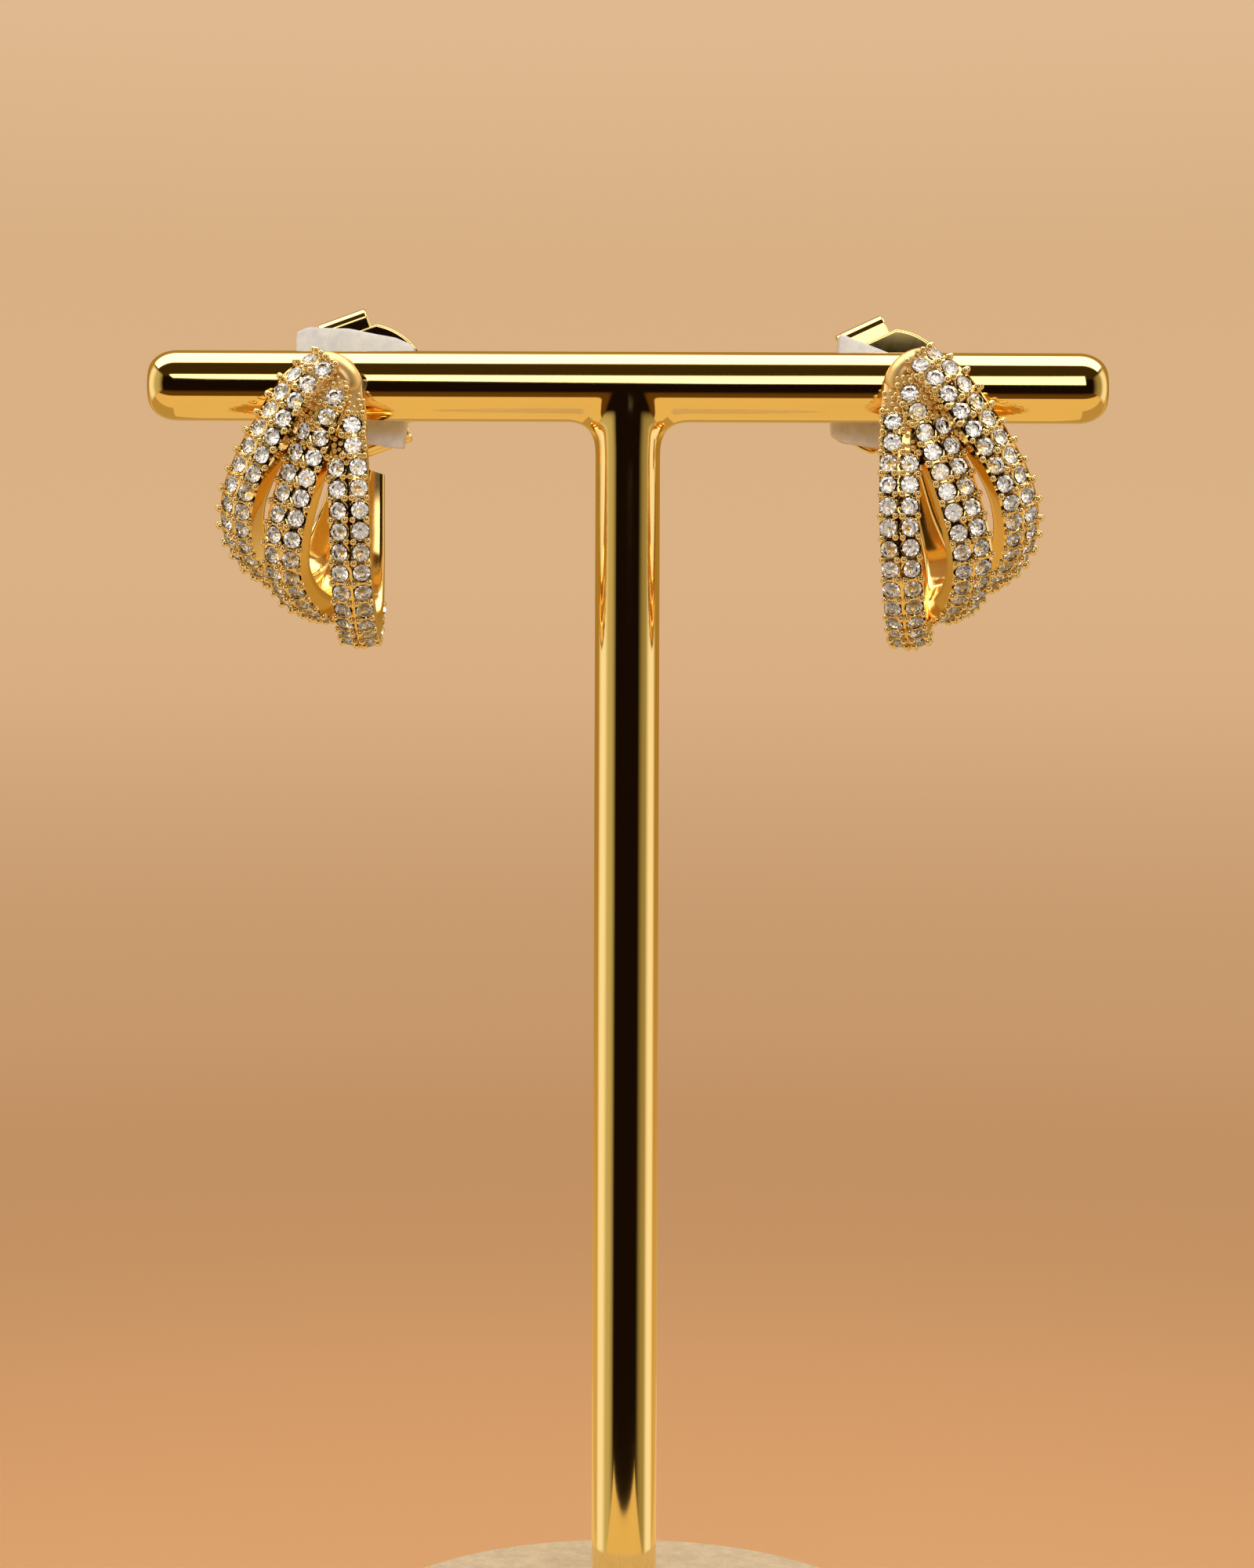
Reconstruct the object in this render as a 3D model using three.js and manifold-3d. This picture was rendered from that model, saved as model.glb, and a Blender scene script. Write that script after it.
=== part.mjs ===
// A pair of triple hoop earrings with paved fronts, hung through the bar of their T-bar display stand.
//
// Millimetres, +Z up. The origin is the middle of the stand's underside, so the stand rests on z = 0.
// The bar runs along X and the fronts of the earrings face -Y. Each earring is three hoops that spread
// from one domed head like the ribs of a fan and close again at one tip behind the ear lobe.

import * as THREE from "three";
import { mergeVertices } from "three/addons/utils/BufferGeometryUtils.js";
import Module from "manifold-3d";

const wasm = await Module();
wasm.setup();

// ---------------------------------------------------------------- driving dimensions

const GAP = 0.3; // what two touching pieces keep between them

const BASE_RADIUS = 16.6;
const BASE_HEIGHT = 9.3;
const BASE_EDGE = 1.4; // rounding of the upper rim
const BASE_CHAMFER = 0.5; // at the foot
const SOCKET_DEPTH = 6; // how deep the stem sits in the base

const BAR_LENGTH = 60;
const BAR_RADIUS = 2.2;
const BAR_ABOVE_BASE = 76.4; // base top to bar axis
const BAR_NOSE = 1.8; // length of each rounded end
const BAR_NOSE_FLAT = 0.9; // radius of the small flat that closes it
const STEM_RADIUS = 2.02;
const FILLET = 1.5; // where the stem flows into the bar
const TUBE_INSET = 0.02; // keeps the bends just inside the stem's own surface
const BAR_Z = BASE_HEIGHT + BAR_ABOVE_BASE;

const POST_RADIUS = 0.4;
const POST_HOLE_RADIUS = 0.7; // the posts hang loosely in the bar
const POST_X = 16.85; // each post from the middle of the bar
const POST_FRONT = -3; // inside the head
const POST_BACK = 8.6;

const BAND_WIDTH = 2.4;
const BAND_THICKNESS = 1.4;
const BAND_START = 0.7; // how narrow a band is where it leaves the head, of its width
const TIP_WIDTH = 1.9; // the bands narrow behind the lobe
const TIP_THICKNESS = 1.0;
const TIP_Z = -4.75; // flat cut that ends the three bands, below the clutch
const TIP_SLOPE = 0.33; // its slope along X

const PAD_FRONT = BAR_RADIUS + GAP;
const PAD_THICKNESS = 2.2;

const CLUTCH_FRONT = PAD_FRONT + PAD_THICKNESS + GAP;
const CLUTCH_RADIUS = 4.1;
const CLUTCH_SHEET = 0.3;
const CLUTCH_CHORD = 3.55; // where the round plate is cut and folded back
const CLUTCH_HOLE_RADIUS = 0.52;
const WING_WIDTH = 3.2;
const LOWER_WING = 0.87; // reach of the lower wing, of the upper one

// Middle line of each band's outer face, from the head down the front, under the lobe and up behind
// it to the tip. Places are measured from the post's axis at the bar's axis: x towards the middle of
// the stand on the left earring, y backwards, z up. core is the place that the outer face turns from.
const HOOPS = {
  inner: {
    core: [0.2, 2.4, -8],
    line: [
      { x: -0.6, y: -3.1, z: -0.2 },
      { x: -0.55, y: -3.9, z: -2.2 },
      { x: -0.35, y: -4.35, z: -5.5 },
      { x: -0.2, y: -4.4, z: -9 },
      { x: -0.15, y: -3.8, z: -11.95 },
      { x: -0.05, y: -2, z: -14.6 },
      { x: 0, y: 0.9, z: -15.9 },
      { x: 0, y: 4.1, z: -15.7 },
      { x: 0, y: 6.9, z: -13.9 },
      { x: 0, y: 8.4, z: -11 },
      { x: 0, y: 8.9, z: -8 },
      { x: 0, y: 9, z: -4 },
    ],
  },
  middle: {
    core: [-1.4, 3, -8],
    line: [
      { x: -1.2, y: -3.5, z: 0.15 },
      { x: -1.85, y: -4, z: -1.75 },
      { x: -2.75, y: -4.05, z: -4.15 },
      { x: -3.6, y: -4, z: -7 },
      { x: -4.1, y: -3.7, z: -9.65 },
      { x: -4.15, y: -2.6, z: -11.9 },
      { x: -3.65, y: -0.6, z: -13.55 },
      { x: -2.95, y: 1.8, z: -14.3 },
      { x: -2.3, y: 4.3, z: -14.3 },
      { x: -2.1, y: 6.5, z: -13 },
      { x: -1.75, y: 8, z: -10.6 },
      { x: -1.2, y: 8.7, z: -7.6 },
      { x: -0.6, y: 8.9, z: -4 },
    ],
  },
  outer: {
    core: [-3.4, 4, -8],
    line: [
      { x: -1.45, y: -3.4, z: 1.25 },
      { x: -3.05, y: -3.95, z: -0.1 },
      { x: -4.75, y: -3.95, z: -2.35 },
      { x: -6.25, y: -3.5, z: -4.9 },
      { x: -7.25, y: -2.7, z: -7.4 },
      { x: -7.4, y: -1.2, z: -9.7 },
      { x: -6.75, y: 0.8, z: -11.35 },
      { x: -5.6, y: 2.8, z: -12.35 },
      { x: -4.6, y: 4.7, z: -12.7 },
      { x: -3.7, y: 6.7, z: -12 },
      { x: -2.9, y: 8, z: -9.8 },
      { x: -1.9, y: 8.7, z: -7.2 },
      { x: -1.1, y: 8.8, z: -4 },
    ],
  },
};

// The domed head that the three bands grow from: its middle and half sizes.
const HEAD = { x: -1.35, y: -2.5, z: -0.5, rx: 2.1, ry: 1.7, rz: 2.25 };

// Each pad is a piece cut by hand, so its corners are its own. x is to the right, z up, from the post.
const LEFT_PAD = [
  { x: -4.2, z: 3.45 }, { x: -3.4, z: 3.8 }, { x: -0.9, z: 3.65 }, { x: 2.1, z: 3.1 },
  { x: 3.2, z: 2.6 }, { x: 3.3, z: 1.8 }, { x: 2.55, z: -3.95 }, { x: -4.4, z: -3 },
];
const RIGHT_PAD = [
  { x: -3.4, z: 3.6 }, { x: 3.3, z: 0.95 }, { x: 2.9, z: -4.2 }, { x: -3.2, z: -3.3 },
  { x: -3.9, z: -2.8 }, { x: -3.95, z: -2 },
];

// Side profile of the upper wing: v is the distance from the post, w the distance behind the plate.
const WING = [
  { v: 3.1, w: 0.15 }, { v: 3.8, w: 0.15 }, { v: 4.4, w: 0.3 }, { v: 4.65, w: 0.8 },
  { v: 4.4, w: 1.35 }, { v: 3.8, w: 1.55 }, { v: 2.9, w: 1.7 }, { v: 1.8, w: 2.15 },
  { v: 0.95, w: 2.85 }, { v: 0.9, w: 3.3 },
];

// What differs between the two earrings: the side they hang on, how the hoops are turned on their post
// and moved from it, how far the post sags and how far the clutch is turned. Turns are in degrees.
const SIDES = {
  left: {
    sign: 1, post: -POST_X, turn: [0, 0, 0], move: [0, 0, 0], sag: 4, clutchTurn: 20, pad: LEFT_PAD,
  },
  right: {
    sign: -1, post: POST_X, turn: [-2.7, -3, -10], move: [-0.06, 0, 0.11], sag: 1.5, clutchTurn: 25,
    pad: RIGHT_PAD,
  },
};

// ---------------------------------------------------------------- materials

const polishedGold = new THREE.MeshStandardMaterial({ color: 0xd9a441, roughness: 0.12, metalness: 1 });
const pavedGold = new THREE.MeshStandardMaterial({ color: 0xe3c98f, roughness: 0.25, metalness: 1 });
const whiteFoam = new THREE.MeshStandardMaterial({ color: 0xe9e6e4, roughness: 0.7, metalness: 0 });
const speckledBeige = new THREE.MeshStandardMaterial({ color: 0xd3bb92, roughness: 0.85, metalness: 0 });

// ---------------------------------------------------------------- solids

// A closed three.js geometry as a solid that can be joined and cut.
function solid(geometry) {
  const bare = new THREE.BufferGeometry();
  const source = geometry.index ? geometry.toNonIndexed() : geometry;
  bare.setAttribute("position", source.getAttribute("position").clone());
  const merged = mergeVertices(bare, 1e-4);
  return new wasm.Manifold(
    new wasm.Mesh({
      numProp: 3,
      vertProperties: new Float32Array(merged.attributes.position.array),
      triVerts: new Uint32Array(merged.index.array),
    }),
  );
}

// A solid as a named mesh in its material.
function meshOf(body, name, material) {
  const made = body.getMesh();
  const geometry = new THREE.BufferGeometry();
  geometry.setAttribute("position", new THREE.BufferAttribute(new Float32Array(made.vertProperties), 3));
  geometry.setIndex(new THREE.BufferAttribute(new Uint32Array(made.triVerts), 1));
  geometry.computeVertexNormals();
  const mesh = new THREE.Mesh(geometry, material);
  mesh.name = name;
  return mesh;
}

function cylinder(radius, length, segments) {
  return new THREE.CylinderGeometry(radius, radius, length, segments);
}

// ---------------------------------------------------------------- the stand

// A round weighted foot with a blind socket for the stem.
function standBase() {
  const socket = STEM_RADIUS + GAP;
  const floor = BASE_HEIGHT - SOCKET_DEPTH - GAP;
  const rim = Array.from({ length: 7 }, (_, i) => {
    const turn = (i / 6) * (Math.PI / 2);
    return new THREE.Vector2(
      BASE_RADIUS - BASE_EDGE + BASE_EDGE * Math.cos(turn),
      BASE_HEIGHT - BASE_EDGE + BASE_EDGE * Math.sin(turn),
    );
  });
  const profile = [
    new THREE.Vector2(0, 0),
    new THREE.Vector2(BASE_RADIUS - BASE_CHAMFER, 0),
    new THREE.Vector2(BASE_RADIUS, BASE_CHAMFER),
    ...rim,
    new THREE.Vector2(socket, BASE_HEIGHT),
    new THREE.Vector2(socket, floor),
    new THREE.Vector2(0, floor),
  ];
  const turned = new THREE.LatheGeometry(profile, 56).rotateX(Math.PI / 2);
  return meshOf(solid(turned), "stand_base", speckledBeige);
}

// The bar with its rounded ends, along X.
function barGeometry() {
  const half = BAR_LENGTH / 2;
  const nose = Array.from({ length: 7 }, (_, i) => {
    const turn = (i / 6) * (Math.PI / 2);
    return new THREE.Vector2(
      BAR_NOSE_FLAT + (BAR_RADIUS - BAR_NOSE_FLAT) * Math.cos(turn),
      half - BAR_NOSE + BAR_NOSE * Math.sin(turn),
    );
  });
  const otherNose = nose.map((p) => new THREE.Vector2(p.x, -p.y)).reverse();
  const profile = [new THREE.Vector2(0, -half), ...otherNose, ...nose, new THREE.Vector2(0, half)];
  return new THREE.LatheGeometry(profile, 36).rotateZ(-Math.PI / 2);
}

// A quarter bend of the stem's own tube, from the stem to one side of the bar.
function bendGeometry(side) {
  const reach = STEM_RADIUS + FILLET;
  const bow = 0.5523 * reach; // makes the Bezier curve a quarter circle
  const top = BAR_Z - BAR_RADIUS + STEM_RADIUS;
  const path = new THREE.CubicBezierCurve3(
    new THREE.Vector3(0, 0, top - reach),
    new THREE.Vector3(0, 0, top - reach + bow),
    new THREE.Vector3(side * (reach - bow), 0, top),
    new THREE.Vector3(side * reach, 0, top),
  );
  const section = new THREE.Shape().absarc(0, 0, STEM_RADIUS - TUBE_INSET, 0, 2 * Math.PI);
  return new THREE.ExtrudeGeometry(section, {
    steps: 9,
    curveSegments: 16,
    extrudePath: path,
    bevelEnabled: false,
  });
}

function standTBar() {
  const foot = BASE_HEIGHT - SOCKET_DEPTH;
  const length = BAR_Z - foot;
  const stem = cylinder(STEM_RADIUS, length, 40).rotateX(Math.PI / 2).translate(0, 0, foot + length / 2);
  let body = solid(barGeometry().translate(0, 0, BAR_Z)).add(solid(stem));
  for (const side of [-1, 1]) {
    body = body.add(solid(bendGeometry(side)));
  }
  for (const { post } of Object.values(SIDES)) {
    const drill = cylinder(POST_HOLE_RADIUS, 4 * BAR_RADIUS, 16).translate(post, 0, BAR_Z);
    body = body.subtract(solid(drill));
  }
  return meshOf(body, "stand_tbar", polishedGold);
}

// ---------------------------------------------------------------- the earrings

// The middle line of a band, with frames that keep its outer face turned away from the core and that
// grow or shrink the section along it: one unit of the section's x is half the band's width, one unit
// of its y is the band's thickness.
class BandPath extends THREE.CatmullRomCurve3 {
  constructor(points, core) {
    super(points, false, "centripetal");
    this.core = core;
  }

  computeFrenetFrames(segments) {
    const frames = { tangents: [], normals: [], binormals: [] };
    for (let i = 0; i <= segments; i++) {
      const along = i / segments;
      const tangent = this.getTangentAt(along);
      const outward = this.getPointAt(along).sub(this.core);
      outward.addScaledVector(tangent, -outward.dot(tangent)).normalize();
      const sideways = new THREE.Vector3().crossVectors(outward, tangent);
      const behind = THREE.MathUtils.smoothstep(along, 0.5, 0.95);
      const begun = THREE.MathUtils.lerp(BAND_START, 1, THREE.MathUtils.smoothstep(along, 0, 0.07));
      const width = begun * THREE.MathUtils.lerp(BAND_WIDTH, TIP_WIDTH, behind);
      const thickness = THREE.MathUtils.lerp(BAND_THICKNESS, TIP_THICKNESS, behind);
      frames.tangents.push(tangent);
      frames.normals.push(sideways.multiplyScalar(width / 2));
      frames.binormals.push(outward.multiplyScalar(thickness));
    }
    return frames;
  }
}

// Section of a band: a flat outer face for the stones, straight walls and a rounded inner face.
function bandSection() {
  const corners = [
    [-0.85, 0], [-1, -0.12], [-1, -0.68], [-0.6, -1], [0.6, -1], [1, -0.68], [1, -0.12], [0.85, 0],
  ];
  return new THREE.Shape(corners.map(([x, y]) => new THREE.Vector2(x, y)));
}

function bandGeometry({ line, core }, sign) {
  const points = line.map(({ x, y, z }) => new THREE.Vector3(sign * x, y, z));
  const path = new BandPath(points, new THREE.Vector3(sign * core[0], core[1], core[2]));
  return new THREE.ExtrudeGeometry(bandSection(), { steps: 30, extrudePath: path, bevelEnabled: false });
}

// Hangs a piece on its post: at the post's place along the bar, tipped with it.
function hang(body, name, material, { post, sag }) {
  const mesh = meshOf(body, name, material);
  mesh.position.set(post, 0, BAR_Z);
  mesh.rotation.x = THREE.MathUtils.degToRad(sag);
  return mesh;
}

function earring(name, side) {
  const { sign, turn, move, sag } = side;
  const head = new THREE.SphereGeometry(1, 24, 14).scale(HEAD.rx, HEAD.ry, HEAD.rz);
  let hoops = solid(head.translate(sign * HEAD.x, HEAD.y, HEAD.z));
  for (const hoop of Object.values(HOOPS)) {
    hoops = hoops.add(solid(bandGeometry(hoop, sign)));
  }
  const aboveTip = new THREE.BoxGeometry(12, 8, 8).translate(0, 10, 4);
  aboveTip.rotateY(sign * Math.atan(TIP_SLOPE)).translate(0, 0, TIP_Z);
  hoops = hoops.subtract(solid(aboveTip)).rotate(turn).translate(move);
  const roomForBar = cylinder(BAR_RADIUS + GAP, 40, 48).rotateZ(Math.PI / 2);
  hoops = hoops.subtract(solid(roomForBar)).rotate([-sag, 0, 0]);
  const length = POST_BACK - POST_FRONT;
  const pin = cylinder(POST_RADIUS, length, 16).translate(0, POST_FRONT + length / 2, 0);
  return hang(hoops.add(solid(pin)), name, pavedGold, side);
}

function pad(name, side) {
  const outline = new THREE.Shape(side.pad.map(({ x, z }) => new THREE.Vector2(x, z)).reverse());
  outline.holes.push(new THREE.Path().absarc(0, 0, POST_HOLE_RADIUS, 0, 2 * Math.PI));
  const slab = new THREE.ExtrudeGeometry(outline, {
    depth: PAD_THICKNESS,
    bevelEnabled: false,
    curveSegments: 8,
  });
  slab.rotateX(Math.PI / 2).translate(0, PAD_FRONT + PAD_THICKNESS, 0);
  return hang(solid(slab), name, whiteFoam, side);
}

// One folded wing of a clutch as a bent sheet, in the plane of v (up) and w (back).
function wingGeometry(reach) {
  const middle = new THREE.SplineCurve(WING.map(({ v, w }) => new THREE.Vector2(reach * v, w)));
  const count = 22;
  const sides = [1, -1].map((side) =>
    Array.from({ length: count + 1 }, (_, i) => {
      const at = middle.getPointAt(i / count);
      const along = middle.getTangentAt(i / count);
      return new THREE.Vector2(-along.y, along.x).multiplyScalar((side * CLUTCH_SHEET) / 2).add(at);
    }),
  );
  const outline = new THREE.Shape([...sides[0], ...sides[1].reverse()]);
  const bent = new THREE.ExtrudeGeometry(outline, { depth: WING_WIDTH, bevelEnabled: false });
  return bent.translate(0, 0, -WING_WIDTH / 2).applyMatrix4(
    new THREE.Matrix4().makeBasis(
      new THREE.Vector3(0, 0, 1),
      new THREE.Vector3(0, 1, 0),
      new THREE.Vector3(-1, 0, 0),
    ),
  );
}

// A friction clutch: a round plate whose upper and lower ends fold back into two wings on the post.
function clutch(name, side) {
  const upper = Math.acos(CLUTCH_CHORD / CLUTCH_RADIUS);
  const lower = Math.acos((LOWER_WING * CLUTCH_CHORD) / CLUTCH_RADIUS);
  const outline = new THREE.Shape();
  outline.absarc(0, 0, CLUTCH_RADIUS, -Math.PI / 2 + lower, Math.PI / 2 - upper, false);
  outline.absarc(0, 0, CLUTCH_RADIUS, Math.PI / 2 + upper, (3 * Math.PI) / 2 - lower, false);
  outline.holes.push(new THREE.Path().absarc(0, 0, CLUTCH_HOLE_RADIUS, 0, 2 * Math.PI));
  const plate = new THREE.ExtrudeGeometry(outline, {
    depth: CLUTCH_SHEET,
    bevelEnabled: false,
    curveSegments: 20,
  });
  let body = solid(plate.rotateX(Math.PI / 2).translate(0, CLUTCH_SHEET, 0));
  body = body.add(solid(wingGeometry(1)));
  body = body.add(solid(wingGeometry(LOWER_WING).rotateY(Math.PI)));
  body = body.rotate([0, -side.clutchTurn, 0]).translate([0, CLUTCH_FRONT, 0]);
  return hang(body, name, polishedGold, side);
}

// ---------------------------------------------------------------- the whole

const part = new THREE.Group();
part.add(standBase(), standTBar());
for (const [side, sizes] of Object.entries(SIDES)) {
  part.add(earring("earring_" + side, sizes));
  part.add(pad("pad_" + side, sizes));
  part.add(clutch("clutch_" + side, sizes));
}

export default part;
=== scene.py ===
import bisect
import math
import random

import bmesh
import bpy
from mathutils import Matrix, Vector, noise
from mathutils.bvhtree import BVHTree


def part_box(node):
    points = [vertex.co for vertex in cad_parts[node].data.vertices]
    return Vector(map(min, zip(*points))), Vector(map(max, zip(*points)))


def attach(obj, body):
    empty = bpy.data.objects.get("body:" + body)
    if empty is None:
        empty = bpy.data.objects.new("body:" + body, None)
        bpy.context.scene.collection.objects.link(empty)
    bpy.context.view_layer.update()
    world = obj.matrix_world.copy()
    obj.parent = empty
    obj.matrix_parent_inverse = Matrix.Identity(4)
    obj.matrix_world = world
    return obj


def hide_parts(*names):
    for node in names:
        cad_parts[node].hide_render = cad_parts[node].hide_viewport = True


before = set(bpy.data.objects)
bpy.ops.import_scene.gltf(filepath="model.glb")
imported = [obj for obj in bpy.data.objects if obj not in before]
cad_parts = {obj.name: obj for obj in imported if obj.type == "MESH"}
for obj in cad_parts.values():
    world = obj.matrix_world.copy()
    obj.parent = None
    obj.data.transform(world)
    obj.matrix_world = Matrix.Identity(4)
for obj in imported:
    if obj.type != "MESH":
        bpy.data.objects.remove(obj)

bl_info = {
    "name": "Paved triple hoops on a T-bar",
    "version": (1, 0, 0),
    "blender": (4, 5, 0),
    "location": "View3D > Sidebar > Jewellery",
    "description": "Builds a pair of paved triple hoop earrings on their T-bar display stand",
    "category": "Add Mesh",
}

# Every piece is built in millimetres and scaled to metres when it is finished.
MM = 0.001
STAND = "stand_with_earrings"
GAP = 0.3
_, FOOT_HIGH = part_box("stand_base")
BAR_LOW, BAR_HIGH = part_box("stand_tbar")
FOOT_TOP = FOOT_HIGH.z / MM
BAR_RADIUS = (BAR_HIGH.y - BAR_LOW.y) / 2 / MM
BAR_HALF = BAR_HIGH.x / MM
BAR_AXIS = BAR_HIGH.z / MM - BAR_RADIUS
STEM_FOOT = BAR_LOW.z / MM
# Each post: its distance from the stem, its radius and length, and its middle behind the bar's axis.
POST_X, POST_RADIUS, POST_LENGTH, POST_MIDDLE = 16.85, 0.4, 11.6, 2.8
BAR_HOLE, FOAM_HOLE = 0.7, 0.55

# Middle line of each band's outer face on the left earring, from the head down the front, under the
# lobe and up behind it. Places are measured from the post: x towards the middle of the stand. Each
# face turns away from its core. A band's stones start at first_row along it, with lone stones first;
# its outer side is wider by the spread, and its two columns are moved by the shift.
HOOPS = {
    "inner": {
        "core": (0.2, 2.4, -8),
        "line": [
            (-0.6, -3.1, -0.2), (-0.55, -3.9, -2.2), (-0.35, -4.35, -5.5), (-0.2, -4.4, -9),
            (-0.15, -3.8, -11.95), (-0.05, -2, -14.6), (0, 0.9, -15.9), (0, 4.1, -15.7),
            (0, 6.9, -13.9), (0, 8.4, -11), (0, 8.9, -8), (0, 9, -4),
        ],
        "first_row": 2.75, "rows": 18, "single_rows": 2,
        "spread": 0.06, "shift": (-0.08, 0.06), "crown": 0.18, "edge_beads": False,
    },
    "middle": {
        "core": (-1.4, 3, -8),
        "line": [
            (-1.2, -3.5, 0.15), (-1.85, -4, -1.75), (-2.75, -4.05, -4.15), (-3.65, -4, -7),
            (-4.25, -3.7, -9.65), (-4.4, -2.6, -11.9), (-3.85, -0.6, -13.55), (-3, 1.8, -14.3),
            (-2.3, 4.3, -14.3), (-2.1, 6.5, -13), (-1.75, 8, -10.6), (-1.2, 8.7, -7.6),
            (-0.6, 8.9, -4),
        ],
        "first_row": 1.2, "rows": 16, "single_rows": 2,
        "spread": 0.25, "shift": (0.05, 0.12), "crown": 0.15, "edge_beads": False,
    },
    "outer": {
        "core": (-3.4, 4, -8),
        "line": [
            (-1.7, -3.4, 1.4), (-3.2, -3.95, -0.05), (-4.78, -3.95, -2.35), (-6.25, -3.5, -4.9),
            (-7.25, -2.7, -7.4), (-7.4, -1.2, -9.7), (-6.75, 0.8, -11.35), (-5.6, 2.8, -12.35),
            (-4.6, 4.7, -12.7), (-3.7, 6.7, -12), (-2.9, 8, -9.8), (-1.9, 8.7, -7.2),
            (-1.1, 8.8, -4),
        ],
        "first_row": 0.75, "rows": 16, "single_rows": 0,
        "spread": 0.38, "shift": (0.1, 0.2), "crown": 0.16, "edge_beads": True,
    },
}
# Width and thickness of a band in front and at its tip, the part of the width that it starts with, the
# rise of its outer face in the middle, and the flat cut at its tip.
BAND_WIDTH, TIP_WIDTH = 2.4, 1.9
BAND_THICKNESS, TIP_THICKNESS = 1.4, 1.0
BAND_START, CROWN_RISE = 0.85, 0.18
TIP_Z, TIP_SLOPE = -4.75, 0.33
TIP_BEHIND, TIP_ABOVE = 6, -9
# The bands are satin above this height, in front of this depth and beyond this side.
SATIN_LOW, SATIN_BACK, SATIN_SIDE = -1.8, 0, -3
# The inner half of a band's section: part of the half width, part of the thickness.
INNER_FACE = [(1, 0.6), (1, 0.82), (0.965, 0.93), (0.87, 1), (0.66, 1.03), (0.36, 1.04), (0.12, 1.045)]
# Where the rings of one row of stones stand, in parts of the row, and how many steps go across the band.
ROW_STEPS = (-0.5, -0.46, -0.4, -0.28, -0.14, 0, 0.14, 0.28, 0.4, 0.46)
ACROSS = 18
# A stone's seat: room round the stone, depth at its rim and slope; and how far the band's edges are cut.
SEAT_ROOM, SEAT_DEPTH, SEAT_SLOPE, EDGE_CUT = 0.01, 0.13, 0.9, 0.04
# The place of a lone stone, a stone's sink, a bead's rise, and the beads' places from edge and middle.
LONE_PLACE, STONE_SINK, BEAD_RISE, BEAD_BACK = -0.45, 0.06, 0.1, 0.03
BEAD_EDGE, BEAD_MIDDLE, BEAD_OVERHANG = 0.09, 0.23, 0.1
# Room that strewn beads keep from the stones, the other beads and the shoulder, tries to place them,
# where they may lie and how squarely the metal has to face the front; none lies in the open corner.
STONE_ROOM, BEAD_ROOM, SHOULDER_ROOM, GRAIN_TRIES = 0.68, 0.3, 0.74, 1800
GRAIN_X, GRAIN_Z, GRAIN_FACING = (-3.4, 1), (-5.2, 1.6), -0.45
OPEN_X, OPEN_Z = -1.3, -3.4
# The head's dome and the line of the rounded shoulder over its front, with half its width and height.
HEAD_MIDDLE, HEAD_HALF = Vector((-1.3, -1.9, -0.1)), Vector((1.5, 1.35, 1.6))
SHOULDER = [
    (-2.5, -2.4, 1.45), (-1.6, -2.8, 1.3), (-1.05, -3, 1.03), (-0.45, -3.1, 0.45), (-0.12, -3.05, -0.12),
    (0.02, -2.85, -0.6),
]
SHOULDER_WIDTH, SHOULDER_HEIGHT, SHOULDER_RINGS = 0.74, 0.5, 32

# Outlines of the foam pads and profile of a clutch's wing, measured from the post.
PAD_FRONT, PAD_THICKNESS = 2.5, 2.2
PAD_MESH, PAD_WOBBLE, PAD_FINE_WOBBLE, PAD_SHARP = 0.45, 0.05, 0.015, 0.3
LEFT_PAD = [
    (-4.2, 3.45), (-3.4, 3.8), (-0.9, 3.65), (2.1, 3.1), (3.2, 2.6), (3.3, 1.8), (2.55, -3.95), (-4.4, -3),
]
RIGHT_PAD = [(-3.4, 3.6), (3.3, 0.95), (2.9, -4.2), (-3.2, -3.3), (-3.9, -2.8), (-3.95, -2)]

CLUTCH_FRONT, CLUTCH_SHEET = 5.0, 0.3
CLUTCH_RADIUS, CLUTCH_CHORD, LOWER_WING = 4.1, 3.55, 0.87
CLUTCH_HOLE, CLUTCH_CUP = 0.52, 0.06
WING_WIDTH, WING_EDGE = 3.2, 0.06
WING = [
    (3.1, 0.42), (3.8, 0.5), (4.4, 0.62), (4.68, 1), (4.45, 1.42), (3.8, 1.58), (2.9, 1.72), (1.8, 2.15),
    (0.95, 2.85), (0.9, 3.3),
]

SIDES = {
    "left": {"sign": 1, "turn": (0, 0, 0), "move": (0, 0, 0), "sag": 4, "clutch_turn": 20, "pad": LEFT_PAD},
    "right": {
        "sign": -1, "turn": (-2.7, -3, -10), "move": (-0.06, 0, 0.11), "sag": 1.5, "clutch_turn": 25,
        "pad": RIGHT_PAD,
    },
}


# ---------------------------------------------------------------- sizes and colours


class StandSizes(bpy.types.PropertyGroup):
    foot_radius: bpy.props.FloatProperty(
        name="Foot radius", description="Radius of the round foot", default=FOOT_HIGH.x, unit="LENGTH"
    )
    foot_rim: bpy.props.FloatProperty(
        name="Foot rim", description="Rounding of the foot's upper rim", default=0.0014, unit="LENGTH"
    )
    stem_radius: bpy.props.FloatProperty(
        name="Stem radius", description="Radius of the upright tube", default=0.00202, unit="LENGTH"
    )
    fillet: bpy.props.FloatProperty(
        name="Fillet", description="Radius where the stem flows into the bar", default=0.0015, unit="LENGTH"
    )
    foot_colour: bpy.props.FloatVectorProperty(
        name="Foot colour", description="Main colour of the speckled foot", size=3, subtype="COLOR",
        default=(0.72, 0.68, 0.54),
    )


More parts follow.
